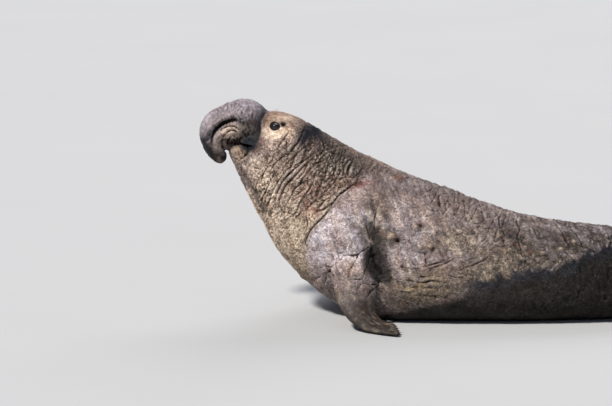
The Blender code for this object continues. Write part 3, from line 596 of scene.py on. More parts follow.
# Deep creases: depth and half width in millimetres, then the marks of the curve in centimetres
CREASES = (
    (14, 7, -64.1, 132, -68.3, 122.9, -71.7, 116.6, -74.5, 113.1, -78.6, 107.5),  # nape
    (7, 6, -76.6, 125.7, -80.7, 119.4, -84.8, 113.8),
    (12, 7, -59.3, 118.7, -65.5, 115.2, -71, 110.3, -75.9, 105.4, -80, 100.5),
    (12, 7, -54.5, 120.8, -52.4, 114.5, -55.2, 109.6),
    # the long folds of the shield
    (16, 7, -54.5, 113.8, -62.1, 108.9, -69, 103.3, -76.6, 96.3, -81.4, 90, -84.8, 83, -88.6, 68.3),
    (15, 7, -57.2, 109.6, -64.1, 104, -71, 97, -77.2, 90, -81.4, 83, -84.8, 68.3),
    (16, 7, -52.4, 105.4, -58.6, 103.3, -64.1, 97.7, -69, 90.7, -74.5, 83.7, -80.7, 69.7),
    (17, 9, -49.7, 102.6, -51.7, 96.3, -54.5, 90, -57.2, 83.7, -59.3, 78.8),
    (15, 7, -57.9, 97.7, -61.4, 90, -64.1, 84.4, -67.6, 79.5, -71, 72.5, -72.4, 66.9),
    (12, 7, -40.7, 99.1, -45.5, 91.4, -51, 85.1, -56.6, 79.5, -63.4, 73.9, -66.9, 68.3),
    (17, 7, -31, 90.7, -37.2, 85.8, -42.8, 81.6, -47.6, 75.3, -53.8, 71.8, -58.6, 70.4),
    (17, 7, -46.9, 74.6, -53.1, 66.9, -57.2, 62.7, -62.1, 57.1, -64.8, 51.5, -65.9, 47.3),
    (8, 5, -64.1, 74.6, -64.8, 68.3, -64.1, 60.6, -65.9, 52.9),
    (8, 6, -82.1, 113.1, -89, 104, -94.5, 94.9, -97.9, 86.5),  # throat
    (9, 6, -76.6, 108.2, -84.8, 97.7, -91, 87.9, -95.2, 78.1, -95.9, 72.5),
    (9, 6, -71, 106.1, -80, 96.3, -86.9, 85.8, -91, 76, -92.4, 68.3),
    (14, 6, -40, 113.8, -41, 108.2, -42.1, 101.2),  # back of the neck
    (13, 6, -32.4, 107.5, -35.5, 101.2, -36.6, 95.6),
    (10, 5, -45.5, 112.4, -49, 105.4, -50.3, 100.5),
    (9, 5, -26.2, 101.2, -30.3, 96.3, -34.5, 92.8),
    (6, 5, -19.3, 102.6, -24.8, 98.4),
    (10, 6, 3.4, 30.5, 12.4, 31.5, 20.7, 34, 27.6, 36.1, 33.1, 38.9),  # flank
    (10, 6, 17.2, 30.8, 27.6, 34, 35.9, 38.5),
    (9, 6, 35.9, 29.1, 48.3, 33.6, 56.6, 37.8, 63.4, 43.1),
    (9, 9, 1.4, 23.4, 7, 22.6, 13.8, 21.4, 20, 22.4, 28.3, 22.1),
    (8, 9, 4.8, 17, 9, 18.2, 13.8, 17.6, 24.4, 18.4),
    (7, 9, 9.7, 12.4, 14, 12.6, 20.7, 11.3, 31.7, 10.6),
    (8, 6, 27.6, 27.7, 37.9, 24.9, 48.3, 26.3),
    (5, 4, 15.2, 41.7, 15.9, 36.1, 17.2, 30.5),
    (15, 6, 69, 68.6, 67.2, 64.8, 67.4, 59.9, 70, 54.7),
    (15, 6, 81.2, 67.2, 79.3, 62.4, 80.9, 58, 78.9, 52.6, 80.7, 45.9, 82.1, 37.5),
    (15, 6, 105.5, 63.4, 109.7, 56.4, 112.6, 50, 114.7, 44.5),
    (12, 6, 115.9, 60, 120, 53, 124.1, 44.5),
    (10, 5, 110.4, 43.5, 114.5, 39, 118.6, 34.5),
    (9, 5, 125.5, 58, 128.5, 51.5, 131, 45.5),
    (9, 5, 140, 59, 142.5, 53, 144, 46),
    (9, 9, -15.5, 80, -17, 72, -18.5, 63, -18, 54),
    (20, 20, -20, 48, -19.5, 42, -18, 36, -15.5, 30, -13, 25),
    (8, 7, -24.5, 62, -22.5, 55, -21, 48),
    (9, 5, 19, 71.4, 23.5, 70.6, 28.5, 71),
    (10, 5, 52, 61.5, 56, 58.2, 60.5, 58.6, 64, 55.6),
    (9, 5, 40, 56.5, 45.5, 54, 50, 55),
    (10, 5, 86.5, 60.5, 91, 57, 93, 52, 98, 49.5),
    (9, 5, 60, 49, 66, 46, 72.5, 47, 77, 43.5),
    (9, 5, 88, 47.5, 93.5, 44, 99, 44.5),
    (6, 4, 33, 78, 37.5, 76.5, 42, 77),
    (6, 4, 47, 65, 52, 66, 57, 68),
    (4, 5, -10.3, 71.8, 3.4, 72.5, 17.2, 74.6),
    (4, 5, 2.8, 66.2, 13.8, 66.9, 26.2, 69),
    (6, 5, -2.1, 96.3, 2.8, 93.5, 6.9, 94.2),
    # over the lip pad
    (
        15, 9, -110, 133.3, -113.5, 133.2, -117.7, 132.4,
        -122.1, 130.6, -126.6, 126.6, -128.8, 121.6, -129.4, 117,
    ),
    (12, 6, -125.5, 122.2, -123.4, 126, -119.3, 128.5, -113.8, 128.9, -109.7, 125.7),  # lip pad
    (13, 6, -122.8, 119.4, -120, 123.4, -116.6, 125.7, -113.1, 125.7, -110.5, 122.2),
    (12, 6, -119.2, 117.3, -116.9, 120.9, -114.5, 122.3, -112, 120.5),
    (10, 6, -108.3, 127.1, -105.5, 121.5, -100.7, 118),  # between lip pad and muzzle
    (7, 5, -104.5, 131, -102.8, 126, -99.5, 121),
    (9, 6, -106, 118, -104.6, 113.5, -106.4, 109, -109.5, 106.5),  # behind the chin
)
# Lumps and old bites: height in millimetres, then the place and reach in centimetres
LUMPS = (
    (11, -116.5, 125.5, 7.5, 4.6), (-7, -5.5, 51.6, 5.5, 5), (33, -6, 52.2, 3, 2.6),
    (-20, -3, 50.4, 1.7, 1.6), (-6, 11.3, 60, 4.4, 4.2), (25, 10, 59.2, 2.4, 2.2),
    (-18, 13.2, 61.2, 1.8, 1.6), (19, 12.4, 45.2, 1.9, 1.7), (20, 19.3, 45.9, 2, 1.8),
    (-10, 21.3, 45.5, 1, 1), (9, 16, 43.5, 1, 1), (-9, -2.9, 51, 1.2, 1.2),
    (-9, -65.5, 73.9, 2, 1.6), (7, -67.5, 75.5, 1.2, 1.2), (-9, -47.6, 93.5, 1.1, 1.6),
    (-9, -55.2, 94.9, 1.3, 1.2), (-8, -60, 88.6, 1.2, 1.4), (-6, -30, 88.8, 5, 1.1),
    (5, -30, 91.2, 6, 0.9), (17, -110.2, 113.2, 3.3, 2.9), (20, 73.5, 43, 1.9, 1.6),
    (-13, 77.8, 47, 2, 1.3), (15, 84, 45, 1.6, 1.9), (-12, 88, 41, 2, 1),
    (14, 96.5, 41, 2.2, 1.2), (12, 66, 52.5, 1.5, 1.4), (-11, 69, 50.5, 1.2, 1.2),
    (-12, 112, 51, 1.2, 2), (13, 117.5, 48, 1.4, 1.9), (12, 108.5, 43.5, 1.8, 1.4),
    (6, -108.5, 108.5, 1.6, 1.5), (5, -112.5, 107.5, 1.3, 1.5),
)


def relief(at):
    """How far the hide stands out from its smooth form, in metres; at.lines is kept for the painted shade
    along the creases.
    """
    points, place, patch, x, z = at.points, at.place, at.patch, at.side_x, at.side_z
    height = np.zeros(len(points))
    nose = ramp(-at.past(NOSE_EDGE), -0.006, 0.012) * ramp(z, 1.00, 1.03)
    coat = at.on_body * (1 - nose)
    behind_edge = ramp(at.past(SHIELD_EDGE), -0.012, 0.035) * ramp(z, 1.03, 0.90)
    before_edge = (1 - behind_edge) * ramp(place, 18, 15)
    chest = coat * before_edge * ramp(0.80 - z, 0.0, 0.22)
    shield = coat * ramp(place, 5.0, 6.8) * ramp(place, 15.0, 12.5) * (1 - behind_edge)
    shield = shield * (1 - 0.65 * chest) * (1 - 0.55 * ramp(at.up, 0.72, 0.95))
    shield = shield * (1 - 0.75 * ramp(-at.up, 0.50, 0.85))
    knobbly = patch(-55, 93, 13, 16) + 0.7 * patch(-45, 108, 10, 9) + 0.5 * patch(-62, 112, 9, 10)
    flank = coat * ramp(place, 11.5, 14.0)
    cheek = coat * ramp(place, 3.6, 4.6) * ramp(place, 6.8, 5.6) * ramp(z, 1.25, 1.19)

    def where(amount, rule):
        """Adds a relief only where it shows, because its pattern is slow to work out."""
        chosen = np.flatnonzero(amount > 0.01)
        height[chosen] += amount[chosen] * rule(chosen, points[chosen])

    def bent(ring, here, *bends):
        """Places on the rings, shifted along the body by soft noise."""
        ring = ring.copy()
        ring[:, 0] += sum(reach * noise(here, size, seed) for reach, size, seed in bends)
        return ring

    def folds(chosen, here):
        ring = bent(at.ring[chosen], here, (0.032, 0.19, 21), (0.013, 0.06, 22))
        gap = cracks(ring, (0.062, 0.19, 0.19), 31)
        strength = 0.15 + 1.0 * ramp(noise(here, 0.14, 27), -0.4, 0.5)
        long_folds = -0.0135 * strength * bell(gap, 0.15) + 0.0035 * np.minimum(gap, 0.9)
        ring = bent(ring, here, (0.006, 0.03, 23))
        gap = cracks(ring, (0.020, 0.066, 0.066), 41)
        strength = 0.1 + 0.9 * ramp(noise(here, 0.08, 28), -0.4, 0.5)
        short_folds = -0.0058 * strength * bell(gap, 0.22) + 0.0010 * np.minimum(gap, 0.9)
        gap = cracks(ring, (0.021, 0.034, 0.034), 45)
        knobs = 0.0050 * np.minimum(gap, 0.8) - 0.0080 * bell(gap, 0.28)
        knobs -= 0.011 * ramp(noise(here, 0.030, 46), 0.40, 0.65)
        return long_folds + short_folds + knobbly[chosen] * knobs + 0.0025 * rough_noise(here, 0.024, 51)

    def loose_skin(chosen, here):
        ring = bent(at.ring[chosen], here, (0.035, 0.16, 24), (0.008, 0.04, 29))
        coarse = -0.0085 * bell(cracks(ring, (0.085, 0.24, 0.18), 91), 0.10)
        coarse *= ramp(noise(here, 0.30, 92), -0.35, 0.4)
        level = np.stack([x[chosen], at.y[chosen], z[chosen] + 0.3 * x[chosen]], 1)
        level[:, 2] += 0.02 * noise(here, 0.15, 192)
        return coarse + 0.0030 * noise(level, (0.13, 0.13, 0.016), 191) + 0.0030 * noise(here, 0.020, 193)

    def cheek_lines(chosen, here):
        level = np.stack([x[chosen], at.y[chosen], z[chosen] - 1.4 * (x[chosen] + 0.9) ** 2], 1)
        return 0.0045 * noise(level, (0.065, 0.065, 0.015), 71) + 0.0025 * noise(here, 0.018, 72)

    def nose_lines(chosen, here):
        ring = bent(at.nose_ring[chosen], here, (0.012, 0.07, 25), (0.004, 0.02, 30))
        hump = ramp(at.nose_place[chosen], 1.2, 2.2) * ramp(at.nose_place[chosen], 6.5, 4.6)
        lines = -(0.0022 + 0.0040 * hump) * bell(cracks(ring, (0.024, 0.090, 0.090), 96), 0.22)
        return lines + 0.0030 * rough_noise(here, 0.035, 97) + 0.0012 * noise(here, 0.011, 98)

    where(shield, folds)
    where(flank, loose_skin)
    where(cheek, cheek_lines)
    where(nose, nose_lines)
    level = np.stack([x, at.y, z + 0.012 * noise(points, 0.10, 84)], 1)
    streaks = np.stack([x + 0.35 * (z - 0.6), at.y, z], 1)
    belly_folds = coat * np.clip(1.3 * patch(13, 18, 21, 12), 0, 1)
    sandy = patch(38, 51, 18, 9) + patch(90, 38, 22, 9) + 0.6 * patch(60, 30, 30, 10)
    bulge = coat * behind_edge * ramp(place, 17.5, 15.5)
    back = coat * ramp(at.up, 0.78, 0.95) * ramp(place, 6, 8)
    for amount, spots, rise, size, seed, layers in (
        (chest, points, 0.0090, (0.045, 0.060, 0.22), 61, 1),
        (chest, points, 0.0035, 0.035, 62, 1),
        (flank, points, 0.0065, 0.12, 81, 1),
        (flank, points, 0.0050, 0.045, 82, 3),
        (belly_folds, level, 0.0085, (0.17, 0.17, 0.021), 85, 1),
        (coat * patch(-18, 50, 7, 34), at.ring, 0.0075, (0.030, 0.09, 0.09), 86, 2),
        (coat * np.clip(sandy, 0, 1), points, 0.0065, (0.030, 0.024, 0.024), 83, 2),
        (coat * (1 - shield), points, 0.0022, 0.026, 52, 3),
        (flank * ramp(place, 20.0, 23.0), at.ring, 0.0045, (0.030, 0.08, 0.08), 93, 1),
        (bulge, streaks, 0.0050, (0.020, 0.08, 0.13), 94, 2),
        (back, at.ring, 0.0040, (0.024, 0.06, 0.06), 95, 1),
    ):
        where(amount, lambda chosen, _: rise * rough_noise(spots[chosen], size, seed, layers))

    tame = at.on_body + (1 - at.on_body) * nose
    at.lines = np.zeros(len(height))
    uneven = 0.80 + 0.45 * noise(points, 0.045, 26)
    for depth, width, *marks in CREASES:
        away, share = at.near(*marks)
        ends = np.sqrt(np.clip(np.sin(math.pi * np.clip(share, 0.02, 0.98)), 0, 1))
        width = width / 1000 * (0.70 + 0.30 * ends)
        cut = -bell(away, width) + 0.18 * bell(away - 2.2 * width, 1.2 * width)
        height += tame * uneven * depth / 1000 * ends * cut
        at.lines = np.maximum(at.lines, tame * ends * min(depth / 13, 1) * bell(away, 0.8 * width))
    for rise, *spot in LUMPS:
        height += tame * rise / 1000 * patch(*spot)
    calm = np.ones(len(height))
    for side, _ in SIDES:
        away = distance(points, eye_spot(side, 0.02))
        for radius, depth in ((0.044, 0.0040), (0.056, 0.0030), (0.070, 0.0022)):
            height -= depth * bell(away - radius - 0.005 * noise(points, 0.05, 99), 0.0038)
        height += 0.0045 * bell(away - 0.0395, 0.0065)
        calm *= ramp(away, 0.020, 0.034)
    flipper = (1 - at.on_body) * (1 - nose)
    height += flipper * (0.0016 * noise(points, 0.03, 100) + 0.0010 * noise(points, 0.012, 101))
    return height * calm * (0.15 + 0.85 * ramp(at.z, 0.0, 0.05))


def smoothed(mesh, points, rounds, amount=1.0):
    """Points drawn towards the middle of their neighbours, as often as said."""
    one, other = read(mesh.edges, "vertices", 2, np.int32).T
    count = len(points)
    links = np.maximum(np.bincount(one, minlength=count) + np.bincount(other, minlength=count), 1)
    share = 0.5 * np.reshape(amount, (-1, 1))
    for _ in range(rounds):
        pulls = [(np.bincount(one, a[other], count), np.bincount(other, a[one], count)) for a in points.T]
        total = [one_way + other_way for one_way, other_way in pulls]
        points = points + (np.stack(total, 1) / links[:, None] - points) * share
    return points


def linear(code):
    """An sRGB hex colour as linear red, green and blue."""
    parts = [int(code[i : i + 2], 16) / 255 for i in (1, 3, 5)]
    return [part / 12.92 if part <= 0.04045 else ((part + 0.055) / 1.055) ** 2.4 for part in parts]


# Colours of the hide, as sRGB
HIDE = {
    "grey": "#7c7273",
    "fleck": "#443d3a",
    "sand": "#b9aa98",
    "golden": "#87766a",
    "cheek": "#d8c7b4",
    "tan": "#9a8880",
    "pale": "#b7b1b9",
    "mauve": "#a79fa8",
    "muzzle": "#47413f",
    "tip": "#1a1718",  # of the proboscis: painted shade along its edge by the brow, under its overhang, on its tip and underside
    # painted bluish shade: at the nape, in the brow crease, at the mouth corner, on the lower flank and the
    # wet belly
    "bluish_shade": "#1d222c",
    "raw": "#84524a",  # healed bites and sores
    "shade": "#4e4543",
    "dark": "#252321",  # wet belly and deep shade
    "yellow": "#8a7b5f",
    "lip": "#e0ccb8",
    "cream": "#d3c6b6",
    "mouth": "#352322",
    "black": "#0c0a0a",
    "web": "#3a3532",  # of the flippers
}
BELLY_EDGE = (  # the top of the dark wet belly and its painted shade on the side view, in centimetres
    (-20, 1), (-4, 3), (10, 6), (20, 9), (32, 13), (45, 20), (60, 25), (75, 28.5), (99, 33.5), (119, 37),
    (126, 44.5), (146, 48.5), (175, 46), (200, 37), (230, 22), (260, 15),
)


def paint(at):
    """The hide's colours, painted shade and highlights among them: broad grounds first, then patches over
    them.
    """
    points, place, up, patch, past = at.points, at.place, at.up, at.patch, at.past
    clean_x, clean_z = at.side_x, at.side_z
    wander_x, wander_z = (0.02 * rough_noise(points, 0.09, seed) for seed in (111, 112))
    x, z = at.side_x, at.side_z = clean_x + wander_x, clean_z + wander_z
    colour = np.tile(linear(HIDE["grey"]), (len(points), 1))

    def lay(name, amount):
        nonlocal colour
        amount = np.clip(amount, 0, 1)[:, None]
        colour = colour + (np.array(linear(HIDE[name])) - colour) * amount

    def flecked(low, high, patchy=0):
        """A colour breaks up into small flecks, the more in patches the higher patchy is."""
        return ramp(fine + patchy * mottle, low, high)

    broad = rough_noise(points, 0.28, 110)
    mottle = rough_noise(points, 0.07, 113)
    fine = rough_noise(points, 0.026, 114)
    finest = rough_noise(points, 0.016, 115, 2)
    behind_edge = ramp(past(SHIELD_EDGE) + 0.02 * mottle, -0.03, 0.06) * ramp(z, 1.03, 0.90)
    before_edge = (1 - behind_edge) * ramp(place, 18, 15)
    neck = ramp(place, 4.8, 6.5) * ramp(place, 14.0, 11.5) * (1 - behind_edge)
    rear = ramp(x, 0.75, 1.35)
    trunk = ramp(place, 12, 15) * (1 - behind_edge)
    lay("shade", 0.25 * ramp(broad, -0.1, 0.6))
    lay("tan", 0.90 * neck)
    lay("sand", before_edge * ramp(0.88 - z, 0, 0.22))
    lay("sand", 0.60 * patch(-95, 85, 10, 26) + 0.45 * ramp(mottle, 0.0, 0.5) * neck)
    lay("yellow", 0.30 * ramp(0.50 - z, 0, 0.2) * before_edge)
    lay("cream", before_edge * (0.42 * patch(-80, 56, 16, 18) + 0.60 * patch(-93, 90, 8, 15)))
    lay("cream", 0.95 * neck * patch(-66, 88, 20, 16) * ramp(mottle - 0.4 * fine, -0.4, 0.3))
    sore = 0.55 * neck * flecked(0.1, 0.7, 1)
    lay("raw", sore + 0.50 * patch(-61, 89, 12, 17) * ramp(mottle, -0.3, 0.4))
    lay("shade", 0.80 * patch(-56, 93, 8, 11) * flecked(-0.3, 0.3))
    lay("raw", 0.50 * patch(-64, 73, 7, 7) * flecked(-0.6, 0.2, 1))
    lay("fleck", 0.85 * patch(-54, 101, 7, 13, -15) * flecked(-0.5, 0.2, 0.4))
    lay("dark", 0.85 * patch(-54, 98, 7, 8.5) * flecked(-0.1, 0.3))
    lay("fleck", 0.70 * patch(-67, 115, 11, 7, -32) * flecked(-0.7, 0.0, 0.4))
    lay("shade", 0.95 * patch(-48, 109, 15, 13) + 0.85 * patch(-30, 99, 14, 7, -30))
    # painted bluish shade in patches at the nape
    nape = 1.1 * patch(-60, 127, 9, 8) + 0.95 * patch(-68, 121, 5, 8, 20) + 0.6 * patch(-52, 118, 6, 6)
    nape = np.clip(nape, 0, 1)
    lay("bluish_shade", nape * ramp(mottle, -0.7, -0.1))
    lay("pale", 0.95 * behind_edge * ramp(x, -0.17, -0.26) * ramp(z, 0.26, 0.40))
    lay("pale", 0.85 * patch(5, 56, 15, 25) * (0.75 + 0.25 * mottle))
    strip = patch(-19, 58, 10.5, 27)
    lay("fleck", 0.97 * strip * ramp(mottle + 0.8 * fine, -1.0, 0.1))
    lay("dark", 0.92 * strip * ramp(mottle + 1.2 * fine, -0.8, 0.3))
    grain = noise(np.stack([clean_x + 0.35 * clean_z, at.y, clean_z], 1), (0.018, 0.06, 0.16), 118)
    lay("fleck", 0.40 * behind_edge * ramp(grain + 0.5 * mottle, 0.0, 0.6))
    lay("cream", 0.35 * behind_edge * ramp(-grain - 0.3 * mottle, 0.1, 0.6))
    tan = np.clip(patch(-30, 82, 14, 6) + ramp(mottle - 0.3 * grain, 0.1, 0.6), 0, 1)
    lay("tan", 0.60 * behind_edge * tan)
    speckled = patch(38, 51, 18, 10) + patch(85, 38, 26, 10) + 0.8 * patch(60, 28, 30, 10, 15)
    speckled = np.clip(speckled, 0, 1) * (1 - 0.5 * ramp(x, 0.6, 1.0))
    lay("shade", 0.80 * patch(62, 28, 36, 13, 14) + 0.75 * patch(98, 45, 28, 16))
    lay("fleck", 0.80 * speckled * flecked(-0.15, 0.20, 0.3))
    lay("sand", 0.80 * speckled * ramp(finest - 0.2 * mottle, 0.05, 0.35))
    lay("fleck", 0.55 * trunk * flecked(0.0, 0.45, 0.5))
    lay("pale", 0.40 * trunk * ramp(-fine - 0.4 * mottle, 0.15, 0.6) * (1 - rear))
    high = ramp(up, 0.55, 0.80) * ramp(x, 0.9, 0.6)
    lay("shade", 0.65 * trunk * high * ramp(mottle, -0.7, 0.2))
    lay("tan", 0.40 * patch(30, 76, 34, 9))
    lay("shade", 0.92 * rear * ramp(mottle + broad, -1.4, 0.1) * (1 - 0.5 * ramp(z, 0.52, 0.62)))
    lay("shade", 0.85 * ramp(x, 0.55, 0.85) * flecked(0.05, 0.40, 0.8))
    lay("shade", 0.60 * ramp(x, 0.70, 1.05) * ramp(z, 0.58, 0.48))
    # from the middle of the trunk back, the lower flank: wet skin with flecks of painted bluish shade
    wet = ramp(x, 0.50, 0.90) * ramp(z, 0.60, 0.50)
    lay("bluish_shade", 0.85 * wet * flecked(0.12, 0.38, 0.6))
    lay("pale", 0.30 * ramp(x, 0.70, 1.10) * ramp(-fine - 0.6 * mottle, 0.05, 0.4))
    high = ramp(up, 0.62, 0.85) * ramp(x, 0.35, 0.8)
    lay("pale", 0.65 * trunk * high * ramp(0.6 * fine - mottle, -0.6, 0.3))
    lay("shade", 0.75 * patch(14, 9, 24, 9))
    lay("fleck", 0.70 * patch(12, 17, 24, 13))
    lay("yellow", 0.85 * patch(13, 20, 17, 9) * flecked(-0.2, 0.25, 0.4))
    # the belly: dark wet skin with painted bluish shade over it, and a flecked band of damp and painted shade
    # above its edge
    edge = np.interp(x * 100, *zip(*BELLY_EDGE)) / 100
    ragged = edge + 0.045 * mottle + 0.045 * fine - z
    belly = ramp(ragged, -0.01, 0.04)
    damp_and_shade = ramp(edge + 0.13 - z, 0, 0.13) * ramp(x, 0.30, 0.60)
    lay("bluish_shade", 0.70 * damp_and_shade * flecked(-0.05, 0.30, 0.6))
    lay("bluish_shade", 0.92 * belly * ramp(x, 0.30, 0.60))
    lay("dark", belly * ramp(edge - z, 0.0, 0.05 + 0.10 * ramp(x, 0.25, 0.60)))
    # painted shadow in the armpit, under the skin that arches over the fore flipper's root
    fold, _ = at.near(-20, 45, -19, 40, -17, 35, -14.5, 30, -12, 25)
    armpit_shadow = bell(fold + 0.02 * fine, 0.075 - 0.045 * ramp(z, 0.38, 0.48))
    armpit_shadow = ramp(armpit_shadow * ramp(z, 0.16, 0.26), 0.10, 0.60)
    lay("dark", 0.97 * armpit_shadow)
    # painted shade along the throat's front edge, under the chin
    front, _ = at.near(-113, 108, -108.5, 99, -103.5, 89, -99, 79, -95, 71)
    lay("shade", 0.85 * bell(front + 0.012 * fine, 0.024))
    lay("raw", 0.95 * patch(-30, 89, 9, 3, 10) + 0.75 * patch(-1.4, 93.5, 4, 2))
    lay("fleck", 0.7 * patch(-32, 90, 12, 5, 15) * flecked(0.0, 0.4))
    lay("raw", 0.6 * patch(16.6, 40, 0.8, 9, -3))
    golden = ramp(past(NOSE_EDGE), -0.004, 0.006) * ramp(place, 7.0, 5.4) * ramp(z, 1.14, 1.24)
    lay("golden", golden)
    lay("cheek", 0.80 * patch(-84, 124, 8.5, 5) + 0.3 * patch(-80, 136, 10, 3))
    lay("shade", 0.55 * patch(-86, 112, 12, 6, -10) * flecked(-0.6, 0.3, 1))
    lay("tan", 0.8 * patch(-88, 114.5, 10, 4))
    lay("cheek", 0.60 * patch(-104, 106, 8, 8) * flecked(-0.4, 0.3))
    lay("yellow", 0.60 * patch(-110.3, 111, 4.5, 4.5))
    lay("cheek", 0.95 * patch(-111, 112, 4.2, 4.2))
    # painted shade along the deep creases, darker still from the middle of the trunk back
    lay("fleck", 0.85 * at.lines * (1 - 0.7 * behind_edge))
    lay("dark", 0.75 * ramp(at.lines, 0.3, 0.8) * ramp(x, 0.45, 0.60))
    blotch = patch(76, 46, 11, 9) + 0.8 * patch(70, 58, 5, 9) + 0.8 * patch(112, 44, 12, 8, -30)
    lay("dark", 0.75 * blotch * flecked(-0.25, 0.25, 0.5))
    # round each large lump and bite, a ring of painted shadow; on its upper front side raw skin on a bite,
    # and sand with a painted highlight on a lump
    for rise, across, above, along, tall in LUMPS:
        if abs(rise) > 8 and across > -20:
            lay("fleck", 0.90 * patch(across, above, 1.8 * along, 1.8 * tall))
            spot = patch(across - 0.4 * along, above + 0.5 * tall, 0.8 * along, 0.7 * tall)
            lay("raw" if rise < 0 else "sand", 0.85 * spot)
    x, z = at.side_x, at.side_z = clean_x, clean_z

    lip_line = z - 1.178 + 0.083 * (x + 1.008) + 0.012 * mottle
    nose = ramp(-past(NOSE_EDGE), -0.003, 0.006) * ramp(lip_line, -0.030, 0.006)
    hanging = ramp(-at.x, 1.185, 1.20)
    nose = np.maximum(nose, hanging)
    lay("mauve", nose)
    lay("pale", 0.60 * nose * patch(-130, 128, 7, 10) + 0.18 * nose * ramp(mottle, 0.1, 0.6))
    lay("muzzle", 0.95 * nose * ramp(patch(-103, 126, 10, 10), 0.15, 0.70))
    # painted shade along the proboscis's edge by the brow
    lay("tip", 0.85 * nose * bell(past(NOSE_EDGE) + 0.016, 0.030) * ramp(z, 1.16, 1.20))
    # painted bluish shade in the crease behind the proboscis
    lay("bluish_shade", 0.60 * nose * patch(-96, 137, 5, 6))
    overhang, _ = at.near(
        -107, 131.5, -113.5, 133.2, -117.7, 132.4, -122.1, 130.6, -126.6, 126.6, -128.8, 121.6, -129.4, 117
    )
    lay("lip", 0.95 * nose * patch(-117.5, 124.5, 8, 6.5, 20))
    lay("lip", 0.90 * nose * patch(-124.5, 116.5, 4, 4.5))
    # painted shadow under the tube's overhang, over the lip pad
    lay("tip", 0.88 * nose * bell(overhang, 0.013))
    # painted shade on the outer lower side of the tip and under the hanging tip
    lay("tip", nose * np.clip((1.35 + 0.5 * mottle) * patch(-134.5, 113, 14.5, 6.8, -56), 0, 0.97))
    lay("tip", 0.92 * hanging * ramp(1.15 - at.z, 0.0, 0.06))
    # painted bluish shade in the recess at the corner of the mouth
    lay("bluish_shade", np.clip(1.8 * patch(-104.0, 117.0, 6.0, 5.4), 0, 0.98))
    lay("lip", 0.45 * hanging * patch(-124.0, 106, 3, 3) * flecked(-0.3, 0.3))
    for side, _ in SIDES:
        lay("black", 0.95 * bell(distance(points, mirrored(NOSTRIL, side)), 0.026))
        away = distance(points, eye_spot(side, 0.02))
        lay("black", 1.0 - ramp(away + 0.002 * fine, 0.033, 0.040))
        away = distance(points, mirrored(EAR, side))
        lay("black", 0.95 - 0.95 * ramp(away + 0.004 * fine, 0.017, 0.029))
    in_mouth = ramp(-at.x, 1.00, 1.02) * ramp(-at.x, 1.20, 1.19)
    in_mouth *= bell(at.z - 1.186, 0.020) * (1 - ramp(np.abs(at.y), 0.095, 0.140))
    lay("mouth", in_mouth)
    flipper = (1 - at.on_body) * (1 - nose) * ramp(-at.x, 1.0, 0.9)
    flipper *= 1 - 0.85 * ramp(at.z + 0.05 * mottle, 0.10, 0.36)
    lay("web", 0.92 * flipper)
    lay("sand", 0.30 * flipper * flecked(0.1, 0.5))
    dark = np.clip(belly + armpit_shadow + flipper + nape + 0.6 * strip, 0, 1)
    grit = ramp(place, 5, 7) * (0.30 + 0.60 * ramp(mottle, -0.2, 0.5))
    grit = grit * (1 - 0.7 * behind_edge) * (1 - 0.5 * rear)
    grit = np.clip(grit + 0.8 * speckled + 0.6 * bell(ragged + 0.03, 0.05), 0, 1) * (1 - 0.95 * dark)
    bare = np.maximum(nose, 0.6 * flipper)
    chest = before_edge * ramp(0.80 - z, 0, 0.22)
    lightness = 1 + (0.58 * neck - 0.57 * chest) * ramp(up, 0.95, 0.75)
    lightness -= 0.32 * (1 - neck) * np.clip(patch(30, 84, 40, 13) + 0.4 * patch(60, 68, 30, 12), 0, 1)
    lightness += 0.08 * trunk * (1 - belly) + 0.10 * rear * belly - 0.10 * patch(-38, 62, 20, 26)
    colour *= lightness[:, None]
    crackle = 0.42 + 0.58 * neck + 0.50 * rear - 0.22 * behind_edge - 0.45 * chest
    crackle = np.clip(crackle, 0, 1) * (1 - 0.75 * golden) * (1 - 0.5 * nose)
    fur = 0.30 + 0.9 * speckled + 0.5 * neck + 0.4 * ramp(up, 0.6, 0.9) + 0.4 * rear
    fur *= ramp(place, 4.6, 6.6) * (1 - nose) * (1 - 0.95 * belly) * (1 - flipper)
    return colour, bare, grit, crackle, fur * at.on_body * ramp(at.z, 0.02, 0.06)


